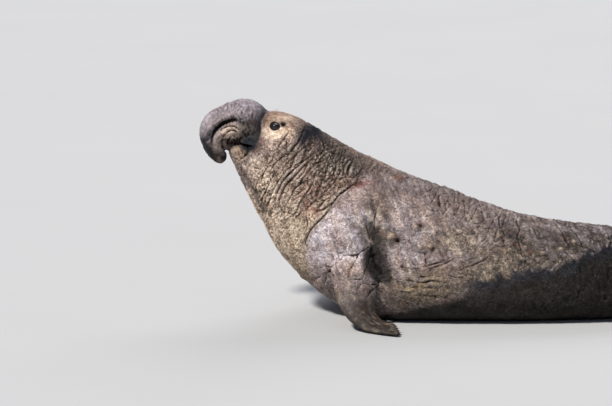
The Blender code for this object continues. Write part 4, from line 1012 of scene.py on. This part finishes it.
def finished_hide():
    """The joined flesh with its folds, thinned where it is smooth, and its markings kept."""
    hide = joined_flesh()
    mesh = hide.data
    points = smoothed(mesh, points_of(mesh), 2)
    roots = np.zeros(len(points))
    for side, _ in SIDES:
        arm = (points - mirrored(Vector((-0.32, -0.44, 0.36)), side)) / (1.0, 0.8, 1.0)
        foot = distance(points, mirrored(Vector((2.16, -0.13, 0.17)), side))
        roots = np.maximum(roots, 1 - ramp(np.linalg.norm(arm, axis=1), 0.20, 0.30))
        roots = np.maximum(roots, 1 - ramp(foot, 0.10, 0.18))
    points = smoothed(mesh, points, 30, roots)
    set_points(mesh, points)
    at = Places(points)
    points = points + normals_of(mesh) * relief(at)[:, None]
    points[:, 2] = np.maximum(points[:, 2], 0.0)
    set_points(mesh, points)
    hollow = ((smoothed(mesh, points, 16) - points) * normals_of(mesh)).sum(1)
    colour, bare, grit, crackle, fur = paint(at)
    sore = np.clip(1.3 * at.patch(-60, 92, 15, 20) + 0.5 * at.patch(-35, 90, 16, 6), 0, 1)
    sore *= 0.75 * at.on_body * ramp(hollow, -0.0005, 0.0025)
    colour += (np.array(linear(HIDE["raw"])) - colour) * sore[:, None]
    fur *= (0.15 + ramp(noise(at.points, 0.040, 121), -0.3, 0.5)) * (1 + 0.8 * ramp(-hollow, 0.0005, 0.003))
    for side, _ in SIDES:  # the lids get neither the pale wear and painted highlight of other ridges nor the painted shade of hollows
        hollow = hollow * ramp(distance(points, eye_spot(side, 0.02)), 0.034, 0.045)
    # The coat's run turns softly from the body's rings to the proboscis's own, so no seam shows
    on_nose = (bare > 0.5) & (points[:, 0] < -0.90)
    on_nose = smoothed(mesh, np.repeat(on_nose[:, None], 3, 1).astype(float), 40)
    turning = np.abs(on_nose[:, 0] - 0.5) < 0.3
    shift = at.nose_ring - at.ring
    run = at.ring + on_nose * (shift - np.median(shift[turning], axis=0))
    keep(mesh, "colour", np.column_stack([colour, np.ones(len(colour))]), "FLOAT_COLOR")
    keep(mesh, "run", run, "FLOAT_VECTOR")
    for name, values in (
        ("bare", bare),
        ("grit", grit),
        ("crackle", crackle),
        ("fur", fur),
        ("place", at.place),
        ("hollow", np.clip(hollow / 0.005, -1, 1)),
    ):
        keep(mesh, name, values)
    front = 0.15 + 0.85 * (1 - ramp(points[:, 0], -0.25, 0.25))
    head = 1 - ramp(points[:, 0], -0.90, -0.60)
    weights = np.rint(np.clip(np.maximum(front * 0.6, head), 0, 1) * 10).astype(int)
    group = hide.vertex_groups.new(name="fine")
    for tenths in np.unique(weights):
        group.add(np.flatnonzero(weights == tenths).tolist(), tenths / 10, "REPLACE")
    thin = hide.modifiers.new("thin", "DECIMATE")
    thin.ratio = HIDE_TRIANGLES / (2 * len(mesh.polygons))
    thin.vertex_group = "fine"
    thin.invert_vertex_group = True
    thin.vertex_group_factor = 0.0002
    apply_modifiers(hide)
    hide.vertex_groups.clear()
    return to_frame(hide)


def lock_form():
    """One flat, tapered lock of short fur, as long, half as wide and as thick as 1, lying along x."""

    def skin(places, angles):
        share = (places / places.max())[:, None]
        width = np.interp(share, (0.0, 0.5, 1.0), (0.8, 1.0, 0.0))
        across, up = np.sin(angles)[None, :] * width, np.cos(angles)[None, :] * width * 0.7
        return np.stack(np.broadcast_arrays(share, across, 0.5 * np.sin(math.pi * share) + up), -1)

    form = closed_tube("lock", skin, np.arange(3), 3).data
    bm = bmesh.new()
    bm.from_mesh(form)
    bmesh.ops.triangulate(bm, faces=bm.faces)
    points, corners = points_of(form), np.array([[vert.index for vert in face.verts] for face in bm.faces])
    bm.free()
    bpy.data.meshes.remove(form)
    return points, corners


def coat(name, hide, seed, here):
    """Locks of fur scattered over a part of the hide, combed back and down, as one joined piece."""
    mesh = hide.data
    mesh.calc_loop_triangles()
    corners = read(mesh.loop_triangles, "vertices", 3, np.int32)
    points = points_of(mesh)
    fur, hollow, place = (read(mesh.attributes[mark].data, "value", 1) for mark in ("fur", "hollow", "place"))
    fur = fur[:, 0] * here(points)
    one, two, three = (points[corners[:, corner]] for corner in range(3))
    area = np.linalg.norm(np.cross(two - one, three - one), axis=1)
    total = np.cumsum(area * fur[corners].mean(1))
    draw = np.random.default_rng(seed)
    chosen = corners[np.searchsorted(total, draw.random(LOCKS) * total[-1])]
    root, along = np.sqrt(draw.random(LOCKS)), draw.random(LOCKS)
    shares = np.stack([1 - root, root * (1 - along), root * along], 1)[..., None]

    def at_roots(values):
        return (values[chosen] * shares).sum(1)

    roots, up = at_roots(points), unit(at_roots(normals_of(mesh)))
    swirl = np.stack([noise(roots, 0.07, 140 + axis) for axis in range(3)], 1)
    lie = np.array([1.0, 0.0, -0.35]) + 0.45 * swirl + 0.13 * draw.normal(size=(LOCKS, 3))
    lie = square_to(up, lie)
    length = 0.008 + 0.009 * draw.random(LOCKS) ** 1.5
    width = length * (0.08 + 0.06 * draw.random(LOCKS))
    thick = 0.0010 + 0.0010 * draw.random(LOCKS)
    form, faces = lock_form()
    x, y, z = form.T
    spots = roots[:, None] + lie[:, None] * (length[:, None] * x)[..., None]
    spots += np.cross(up, lie)[:, None] * (width[:, None] * y)[..., None]
    spots += up[:, None] * (thick[:, None] * z - 0.0006 + (0.06 * length)[:, None] * x)[..., None]
    spots[..., 2] = np.maximum(spots[..., 2], 0.0005)
    piece = bpy.data.meshes.new(name)
    every = faces[None] + len(form) * np.arange(LOCKS)[:, None, None]
    piece.from_pydata(spots.reshape(-1, 3), [], every.reshape(-1, 3).tolist())
    tone = 0.85 + 0.25 * noise(roots, 0.022, 145) + 0.35 * draw.random(LOCKS)
    tone = tone[:, None] * (0.80 + 0.40 * x)
    tone = tone * (1 - 0.8 * np.clip(at_roots(hollow) / 0.6, 0, 1))  # painted shade: darker where a lock grows in a crease
    colour = at_roots(read(mesh.attributes["colour"].data, "color", 4))[:, None, :3] * tone[..., None]
    keep(piece, "colour", np.concatenate([colour, np.ones_like(colour[..., :1])], -1), "FLOAT_COLOR")
    # Each lock is a small patch of the bake map, at its root's place round and along the body
    turn = np.arctan2(roots[:, 1], roots[:, 2] - 0.35) / (2 * math.pi) + 0.5
    along = at_roots(place) / (len(BODY) - 1) * 0.99 + 0.003 * x
    spread = np.stack([along, turn[:, None] * 0.99 + 0.003 * (0.5 + 0.5 * y)], -1)
    write(piece.uv_layers.new(name="OFBake").data, "uv", spread.reshape(-1, 2)[every.ravel()])
    piece.shade_smooth()
    return linked(name, piece)


def facing(bm, side, out=0.0):
    """Turns a shape made round +Z to look along one eye's axis."""
    turn = mirrored(EYE_AXIS, side).to_track_quat("Z", "Y").to_matrix().to_4x4()
    place = Matrix.Translation(eye_spot(side, out))
    bmesh.ops.transform(bm, matrix=place @ turn, verts=bm.verts)


def lid_ring(side, word):
    """The wet rims of one eye's lids: a circle spun round the eye's axis, drawn a little wide."""
    bm = bmesh.new()
    bmesh.ops.create_circle(bm, cap_ends=False, segments=14, radius=LID_THICKNESS)
    bmesh.ops.rotate(bm, matrix=Matrix.Rotation(math.pi / 2, 3, "X"), verts=bm.verts)
    bmesh.ops.translate(bm, vec=(LID_RADIUS, 0, 0), verts=bm.verts)
    spin = {"cent": (0, 0, 0), "axis": (0, 0, 1), "angle": 2 * math.pi, "steps": 48, "use_merge": True}
    bmesh.ops.spin(bm, geom=bm.verts[:] + bm.edges[:], **spin)
    bmesh.ops.recalc_face_normals(bm, faces=bm.faces)
    bmesh.ops.scale(bm, vec=(1.06, 0.93, 0.75), verts=bm.verts)
    for vert in bm.verts:
        along = abs(vert.co.x) / math.hypot(vert.co.x, vert.co.y)
        vert.co.x *= 1 + 0.17 * along**9
        vert.co.y *= 0.90 + 0.05 * along**4 if vert.co.y > 0 else 1.0
        vert.co.z -= 0.0035 * along**9
    facing(bm, side, 0.0172)
    lids = made(f"eyelids_{word}", bm)
    points = points_of(lids.data)
    uneven = 0.0026 * rough_noise(points, 0.011, 131)
    set_points(lids.data, points + normals_of(lids.data) * uneven[:, None])
    return to_frame(lids)


def eyeball(side, word):
    """An eyeball with the clear front standing proud, and how far each point is off its axis."""
    bm = bmesh.new()
    bmesh.ops.create_uvsphere(bm, u_segments=64, v_segments=40, radius=EYE_RADIUS)
    for vert in bm.verts:
        off_axis = math.hypot(vert.co.x, vert.co.y)
        if vert.co.z > 0:
            vert.co.z += 0.0028 * float(ramp(0.017 - off_axis, 0.0, 0.010))
    facing(bm, side)
    eye = made(f"eyeball_{word}", bm)
    points = points_of(eye.data) - np.array(eye_spot(side))
    forward = points @ np.array(mirrored(EYE_AXIS, side))
    off_axis = np.sqrt(np.maximum((points**2).sum(1) - forward**2, 0))
    keep(eye.data, "off_axis", np.where(forward > 0, off_axis, EYE_RADIUS))
    return to_frame(eye)


def whiskers(hide):
    """Stiff whiskers in rows on the lip pads and a few over each eye, rooted in the hide."""
    points, normals = points_of(hide.data), normals_of(hide.data)
    side_view = np.stack([points[:, 0] + CENTRE_X, points[:, 2] - VIEW_LEAN * np.abs(points[:, 1])], 1)
    draw = np.random.default_rng(WHISKER_SEED)
    rows = [(side, *row) for side, _ in SIDES for row in WHISKERS]
    rows = [(row, share) for row in rows for share in np.linspace(0, 1, row[3])]
    bm = bmesh.new()
    for (side, first, last, _, length), share in rows:
        spot = ((1 - share) * np.array(first) + share * np.array(last) + draw.normal(size=2) * 0.3) / 100
        away = distance(side_view, spot) + np.where(points[:, 1] * side > 0.04, 0.0, 9.0)
        near = np.argsort(away)[:12]
        found = near[np.argmax(np.abs(points[near, 1]))]
        out = unit(normals[found] + (0.45, 0.0, -0.35) + 0.10 * draw.normal(size=3))
        up = square_to(out, np.array((0.0, 0.0, 1.0)))
        across = np.cross(out, up)
        long = length * (0.7 + 0.5 * draw.random())

        def skin(places, angles):
            run = places[:, None, None]
            middle = points[found] + out * (long * run - 0.003) - up * (0.22 * long * run**2)
            round_it = across * np.cos(angles)[None, :, None] + up * np.sin(angles)[None, :, None]
            return middle + round_it * (0.0012 * (1 - 0.85 * run))

        bristle = closed_tube("whisker", skin, np.linspace(0, 1, 7), 7).data
        bm.from_mesh(bristle)
        bpy.data.meshes.remove(bristle)
    piece = made("whiskers", bm)
    piece.data.shade_smooth()
    return piece


def finger_tip(finger, side):
    """Where a finger of the fore flipper ends, the way it points, and the way up from it."""
    count, last = len(FINGER_LENGTHS), len(ARM) - 1
    spread = (2 * finger + 1) / (2 * count)
    reach = last * float(np.interp(spread * (count - 1), range(count), FINGER_LENGTHS))

    def at(place):
        row = spline(ARM, place)
        across = Vector(row[3:6]).normalized()
        return Vector(row[0:3]) + across * row[6] * (2 * spread - 1), row[7]

    tip, _ = at(reach)
    root, thick = at(reach - 0.10 * last)
    along = (tip - root).normalized()
    up = Vector((0.0, 0.0, 1.0))
    up = (up - along * up.dot(along)).normalized()
    return mirrored(root + up * thick * 0.80, side), mirrored(along, side), mirrored(up, side)


def nail(name, finger, side, steps=16):
    """A curved, tapering nail: a circle drawn along its finger, ring by ring."""
    root, along, up = finger_tip(finger, side)
    turn = Matrix((along.cross(up), up, along)).transposed()
    bm = bmesh.new()
    ring = bmesh.ops.create_circle(bm, cap_ends=False, segments=20, radius=1.0)["verts"]
    outline = [vert.co.copy() for vert in ring]
    edges = bm.edges[:]
    for step in range(steps + 1):
        share = step / steps
        radius = 0.0075 * (1 - share) ** 0.55 + 0.0007
        radius *= 1 + 0.03 * math.sin(step * 1.9 + finger)  # growth rings
        arch = 0.006 * math.sin(math.pi * share * 0.9)
        middle = root + along * 0.046 * share + up * (arch + 0.0022 - 0.006 * share)
        if step:
            swept = bmesh.ops.extrude_edge_only(bm, edges=edges)["geom"]
            ring = [item for item in swept if isinstance(item, bmesh.types.BMVert)]
            edges = [item for item in swept if isinstance(item, bmesh.types.BMEdge)]
            edges = [edge for edge in edges if all(vert in ring for vert in edge.verts)]
        for vert, spot in zip(ring, outline):
            vert.co = middle + turn @ Vector((spot.x * radius, spot.y * radius * 0.78, 0.0))
    bmesh.ops.holes_fill(bm, edges=[edge for edge in bm.edges if edge.is_boundary])
    bmesh.ops.recalc_face_normals(bm, faces=bm.faces)
    return to_frame(made(name, bm))


def rgba(code):
    return (*linear(code), 1.0)


def fill(node, inputs):
    """Gives each of a node's inputs a value or another node's output."""
    for socket, value in inputs.items() if isinstance(inputs, dict) else enumerate(inputs):
        if isinstance(value, bpy.types.NodeSocket):
            node.id_data.links.new(value, node.inputs[socket])
        else:
            node.inputs[socket].default_value = value


def add(tree, kind, inputs=(), output=0, stops=(), **settings):
    """A node with its settings, links and colour stops; one of its outputs is given back."""
    node = tree.nodes.new("ShaderNode" + kind)
    for name, value in settings.items():
        setattr(node, name, value)
    for number, (position, code) in enumerate(stops):
        elements = node.color_ramp.elements
        stop = elements[number] if number < 2 else elements.new(position)
        stop.position, stop.color = position, rgba(code)
    fill(node, inputs)
    return node.outputs[output]


def new_material(name):
    material = bpy.data.materials.new(name)
    material.use_nodes = True
    return material, material.node_tree, material.node_tree.nodes["Principled BSDF"]


TIMES, MINUS, TIMES_PLUS = (
    ("Math", {"operation": name}) for name in ("MULTIPLY", "SUBTRACT", "MULTIPLY_ADD")
)
STEP = ("MapRange", {"interpolation_type": "SMOOTHSTEP"})  # from low and high, to 0 and 1 or as given
HIDE_MASKS = {  # each one worked out from the inside: how, and from what
    "coat": (MINUS, 1.0, "bare"),
    "patchy": (STEP, "patches", 0.42, 0.58),
    "deep": (TIMES, (TIMES, (STEP, "long cells", 0.0, 0.20, 1.0, 0.0), "patchy"), "crackle"),
    "fine": (TIMES, (TIMES, (STEP, "short cells", 0.0, 0.28, 1.0, 0.0), (MINUS, 1.15, "patchy")), "crackle"),
    "pebble": (TIMES, (STEP, "pebbles", 0.15, 0.75, 1.0, 0.0), "bare"),
    "grain": (TIMES, (STEP, "grains", 0.50, 0.60), "grit"),
    "clump": (TIMES, (STEP, "clumps", 0.50, 0.58), (TIMES, "grit", "grit")),
    "ragged pit": (TIMES, (STEP, "pits", 0.12, 0.34, 1.0, 0.0), (STEP, "rougher", 0.45, 0.55)),
    "pit": (TIMES, "ragged pit", "grit"),
    "speck": (STEP, "specks", 0.40, 0.60),
    "ridge": (TIMES, (STEP, "hollow", -0.75, -0.08, 0.85, 0.0), (STEP, "rough", 0.36, 0.58)),
    # ridges pale with wear and a painted highlight, where the hide is sandy
    "worn": (TIMES, (TIMES, "ridge", "crackle"), (STEP, "grit", 0.0, 0.4)),
    "uneven": (TIMES, (TIMES_PLUS, "crackle", 1.2, 0.35), "coat"),  # the face is the smoothest
    "gloss": (MINUS, (STEP, "rough", 0.3, 0.7, 0.74, 0.88), (TIMES, "bare", 0.20)),
    "least": (TIMES_PLUS, "coat", 0.02, 0.24),
    "speckled": (TIMES, (TIMES_PLUS, "grit", 0.60, 0.28), "coat"),
}
HIDE_STAINS = (  # how it is laid, how much, its colour, and where it pales to white
    ("MULTIPLY", 1.0, "#d3c9c4", (STEP, "broad", 0.35, 0.65)),
    ("MULTIPLY", (TIMES_PLUS, "crackle", 0.66, 0.26), "#796e69", (STEP, "rough", 0.36, 0.62)),
    ("MULTIPLY", (TIMES_PLUS, "crackle", 0.57, "least"), "#6f6561", (STEP, "rougher", 0.38, 0.58)),
    ("MULTIPLY", (TIMES, (TIMES, "pit", "coat"), 0.85), "#40362f", None),
    ("MULTIPLY", "speckled", "#7d736c", "speck"),
    ("MULTIPLY", (TIMES, "deep", 0.80), "#4a3f39", None),
    ("MULTIPLY", (TIMES, "fine", 0.50), "#62554d", None),
    # painted shade in the hollows and creases
    ("MULTIPLY", (STEP, "hollow", 0.02, 0.68, 0.0, 0.96), "#2c201d", None),
    # pale wear and painted highlight on the ridges
    ("MIX", "worn", "#e0d5ca", None),
    ("MIX", (TIMES, "clump", 0.55), "#b8a994", None),
    ("MIX", (TIMES, "grain", 0.42), "#c9baa4", None),
    ("MULTIPLY", (TIMES, "coat", 0.8), "#a59b94", (STEP, "hairs", 0.35, 0.60)),
)
HIDE_HEIGHTS = (  # pairs that are multiplied, then added up; in millimetres
    ((TIMES, "deep", "coat"), -4.0),
    ((TIMES, "fine", "coat"), -2.2),
    ("rough", (TIMES_PLUS, "uneven", 9.0, 4.0)),
    ("rougher", (TIMES_PLUS, "uneven", 6.0, 2.0)),
    ("pebble", 1.1),
    ((MINUS, "clump", "pit"), 4.0),
    ("speck", (TIMES, (TIMES_PLUS, "grit", 3.5, 1.5), "uneven")),
    ((TIMES, "hairs", "coat"), 2.0),
    ("grain", 0.9),
)


def weathered_hide():
    """Seal hide in moult: short stiff fur over thick skin, cracked and sandy, pale with wear and a painted
    highlight on its ridges, and painted shade in its hollows.
    """
    material, tree, shader = new_material("weathered_seal_hide")
    place = add(tree, "TexCoord", output="Object")
    colour = add(tree, "Attribute", output="Color", attribute_name="colour")
    run = add(tree, "Attribute", output="Vector", attribute_name="run")
    marks = {}
    for name in ("bare", "grit", "crackle", "hollow"):
        marks[name] = add(tree, "Attribute", output="Fac", attribute_name=name)

    def worked_out(rule):
        """A mark by its name, a number as it is, or what a rule (how, from what) makes of them."""
        if not isinstance(rule, tuple):
            return marks.get(rule, rule)
        (kind, settings), *given = rule
        return add(tree, kind, [worked_out(item) for item in given], **settings)

    bent = add(tree, "TexNoise", {"Vector": place, "Scale": 1000 / 50, "Detail": 3.0}, "Color")
    bent = add(tree, "VectorMath", (bent, (0.022, 0.016, 0.016)), operation="MULTIPLY")
    bent = add(tree, "VectorMath", (run, bent), operation="ADD")
    # Cells and hairs are so long along the body, and longer round it or along it
    long_cells, short_cells, hairs = (
        add(tree, "Mapping", {"Vector": vector, "Scale": scale})
        for vector, scale in ((bent, (1.0, 0.40, 0.40)), (bent, (1.0, 0.38, 0.38)), (run, (0.25, 1.0, 1.0)))
    )
    for name, vector, millimetres, feature in (
        ("long cells", long_cells, 38, "DISTANCE_TO_EDGE"),
        ("short cells", short_cells, 19, "DISTANCE_TO_EDGE"),
        ("pebbles", place, 9, "F1"),  # the grain of the proboscis
        ("pits", place, 24, "F1"),
    ):
        given = {"Vector": vector, "Scale": 1000 / millimetres}
        marks[name] = add(tree, "TexVoronoi", given, "Distance", feature=feature)
    for name, vector, millimetres, detail, roughness in (
        ("broad", place, 120, 3.0, 0.55),
        ("patches", place, 90, 2.0, 0.5),
        ("rough", place, 30, 6.0, 0.72),
        ("rougher", bent, 15, 5.0, 0.75),
        ("clumps", place, 20, 5.0, 0.70),  # sand stuck on the dusty parts
        ("specks", place, 15, 3.0, 0.6),
        ("grains", place, 8, 3.0, 0.75),
        ("hairs", hairs, 3.5, 2.0, 0.5),  # strands are 0.3 mm; drawn in the finest locks that show
    ):
        given = {"Vector": vector, "Scale": 1000 / millimetres, "Detail": detail, "Roughness": roughness}
        marks[name] = add(tree, "TexNoise", given)
    for name, rule in HIDE_MASKS.items():
        marks[name] = worked_out(rule)

    # The pores, cracks, stains and painted shade darken the hide, so it starts lighter than it ends up
    lift = worked_out((TIMES_PLUS, "coat", 1.55, 1.0))
    colour = add(tree, "VectorMath", {0: colour, "Scale": lift}, operation="SCALE")
    for blend, amount, code, white in HIDE_STAINS:
        stain = rgba(code)
        if white:
            given = {0: worked_out(white), 6: stain, 7: rgba("#ffffff")}
            stain = add(tree, "Mix", given, 2, data_type="RGBA")
        given = {0: worked_out(amount), 6: colour, 7: stain}
        colour = add(tree, "Mix", given, 2, data_type="RGBA", blend_type=blend)
    height = 0.0
    for one, other in HIDE_HEIGHTS:
        given = (worked_out(one), worked_out(other), height)
        height = add(tree, "Math", given, operation="MULTIPLY_ADD")
    bump = add(tree, "Bump", {"Strength": 1.0, "Distance": 0.001, "Height": height})
    fill(shader, {"Base Color": colour, "Roughness": marks["gloss"], "Normal": bump})
    fill(shader, {"Specular IOR Level": 0.18})
    return material


def fur_locks():
    """Short stiff fur in flat locks: dry and matt, each a little lighter or darker than its neighbour."""
    material, tree, shader = new_material("short_dry_fur_locks")
    colour = add(tree, "Attribute", output="Color", attribute_name="colour")
    place = add(tree, "TexCoord", output="Object")
    strand = add(tree, "TexNoise", {"Vector": place, "Scale": 1000 / 2.5, "Detail": 2.0})
    tone = add(tree, "MapRange", (strand, 0.3, 0.7, 0.8, 1.6))
    colour = add(tree, "VectorMath", {0: colour, "Scale": tone}, operation="SCALE")
    bump = add(tree, "Bump", {"Strength": 0.6, "Distance": 0.0008, "Height": strand})
    fill(shader, {"Base Color": colour, "Roughness": 0.85, "Specular IOR Level": 0.2, "Normal": bump})
    return material


def wet_eye():
    """A seal's eye: a black pupil in a very dark iris, under a wet clear front that mirrors the lights."""
    material, tree, shader = new_material("wet_cornea_over_dark_iris")
    off_axis = add(tree, "Attribute", output="Fac", attribute_name="off_axis")
    place = add(tree, "TexCoord", output="Object")
    fleck = add(tree, "TexNoise", {"Vector": place, "Scale": 700.0, "Detail": 3.0})  # 1.4 mm
    share = add(tree, "Math", (fleck, 0.004, off_axis), operation="MULTIPLY_ADD")
    share = add(tree, "MapRange", (share, 0.006, 0.024))
    rings = ((0.0, "#030303"), (1.0, "#1d1512"), (0.30, "#040303"), (0.42, "#120a06"))
    rings += ((0.60, "#0b0604"), (0.74, "#060404"))
    fill(shader, {"Base Color": add(tree, "ValToRGB", (share,), stops=rings), "Roughness": 0.28})
    fill(shader, {"IOR": 1.38, "Specular IOR Level": 0.60, "Coat Weight": 0.45, "Coat Roughness": 0.05})
    return material


CLOUDED = {  # clouds to the metre, their detail, two tones, strength and depth of bump, then the shader
    # Bare rim of an eyelid: black, wet and finely creased, 2.4 mm from crease to crease
    "wet_black_lid_rim": (
        420.0, 4.0, ((0.35, "#080707"), (0.75, "#1e1917")), (0.8, 0.0016),
        {"Roughness": 0.58, "Specular IOR Level": 0.2},
    ),
    # Whiskers: stiff horn, dark at the root and ambering in 11 mm streaks, with a soft gloss
    "amber_whisker_horn": (
        90.0, 3.0, ((0.35, "#2a1d15"), (0.70, "#8f7657")), (0.4, 0.0004), {"Roughness": 0.38},
    ),
    # Nail horn: near-black brown with grown rings and scuffed grey ridges, 4 mm apart
    "dark_nail_horn": (
        260.0, 4.0, ((0.35, "#1d1713"), (0.70, "#5b4f45")), (0.6, 0.0008), {"Roughness": 0.42},
    ),
    # Studio floor: pale seamless paper with the faintest unevenness, 2 m across
    "pale_studio_floor": (0.5, 3.0, ((0.0, "#a9aaab"), (1.0, "#aeafb0")), None, {"Roughness": 0.9}),
}


def clouded(name):
    """A finish of two tones in clouds that stand out as they pale."""
    scale, detail, stops, raised, uniform = CLOUDED[name]
    material, tree, shader = new_material(name)
    place = add(tree, "TexCoord", output="Object")
    cloud = add(tree, "TexNoise", {"Vector": place, "Scale": scale, "Detail": detail})
    fill(shader, {"Base Color": add(tree, "ValToRGB", (cloud,), stops=stops), **uniform})
    if raised:
        bump = {"Strength": raised[0], "Distance": raised[1], "Height": cloud}
        fill(shader, {"Normal": add(tree, "Bump", bump)})
    return material


def set_stage():
    """The floor, soft lights and the camera."""
    scene = bpy.context.scene
    bm = bmesh.new()
    bmesh.ops.create_circle(bm, cap_ends=True, segments=96, radius=70.0)
    floor = made("floor", bm)
    floor.location.z = -0.001
    floor.data.materials.append(clouded("pale_studio_floor"))

    for name, way, spread, strength, code in (
        ("key", (-0.52, -0.60, 0.92), 7.0, 5.1, "#fffbf4"),
        ("fill", (0.8, -1.0, 0.45), 60.0, 0.22, "#dfe8ff"),
        ("rim", (0.4, 1.0, 0.8), 40.0, 1.3, "#fbf8ff"),
    ):
        lamp = bpy.data.lights.new(name, "SUN")
        lamp.angle, lamp.energy, lamp.color = math.radians(spread), strength, linear(code)
        linked(name, lamp).rotation_euler = Vector(way).to_track_quat("Z", "Y").to_euler()

    scene.world = bpy.data.worlds.new("studio")
    scene.world.use_nodes = True
    background = scene.world.node_tree.nodes["Background"]
    fill(background, {"Color": rgba("#cfdaf0"), "Strength": 0.32})
    scene.view_settings.view_transform = "Standard"

    lens = bpy.data.cameras.new("camera")
    lens.lens, lens.sensor_width, lens.clip_end = 187.7, 36.0, 200.0
    scene.camera = linked("camera", lens)
    tilt = math.radians(10.0)
    away = 22.0 * Vector((0.0, -math.cos(tilt), math.sin(tilt)))
    scene.camera.location = Vector((-1.327, 0.0, 0.76)) + away
    scene.camera.rotation_euler = (math.pi / 2 - tilt, 0.0, 0.0)


FLESH = (
    "proboscis", "lower_jaw", "head", "neck", "chest", "trunk", "hips", "rump", "tail",
    "fore_flipper_left", "fore_flipper_right", "hind_flipper_left", "hind_flipper_right",
)


def dress():
    """Makes every piece and has it stand for its solids."""

    def fitted(piece, finish, slot, *solids):
        piece.data.materials.clear()
        piece.data.materials.append(finish)
        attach(piece, "root")
        if solids:
            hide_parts(*solids)

    hide = finished_hide()
    fitted(hide, weathered_hide(), "shield_skin", *FLESH)
    locks, cornea = fur_locks(), wet_eye()
    rim, horn = clouded("wet_black_lid_rim"), clouded("dark_nail_horn")
    starts = (-9.0, *(end - CENTRE_X for end in COAT_ENDS), 9.0)
    for number, part in enumerate(("front", "middle", "rear")):
        low, high = starts[number : number + 2]
        for side, word in SIDES:

            def here(at):
                return (at[:, 0] >= low) & (at[:, 0] < high) & (at[:, 1] * side > 0)

            tufts = coat(f"coat_{part}_{word}", hide, COAT_SEED + 2 * number + (side > 0), here)
            fitted(tufts, locks, "flank_skin" if number else "shield_skin")
    fitted(whiskers(hide), clouded("amber_whisker_horn"), "face_skin")
    for side, word in SIDES:
        fitted(eyeball(side, word), cornea, "eye", f"eye_{word}")
        fitted(lid_ring(side, word), rim, "face_skin")
        for finger in range(len(FINGER_LENGTHS)):
            number = len(FINGER_LENGTHS) - finger
            claw = nail(f"horn_nail_{word}_{number}", finger, side)
            fitted(claw, horn, "nail", f"nail_{word}_{number}")


dress()
set_stage()
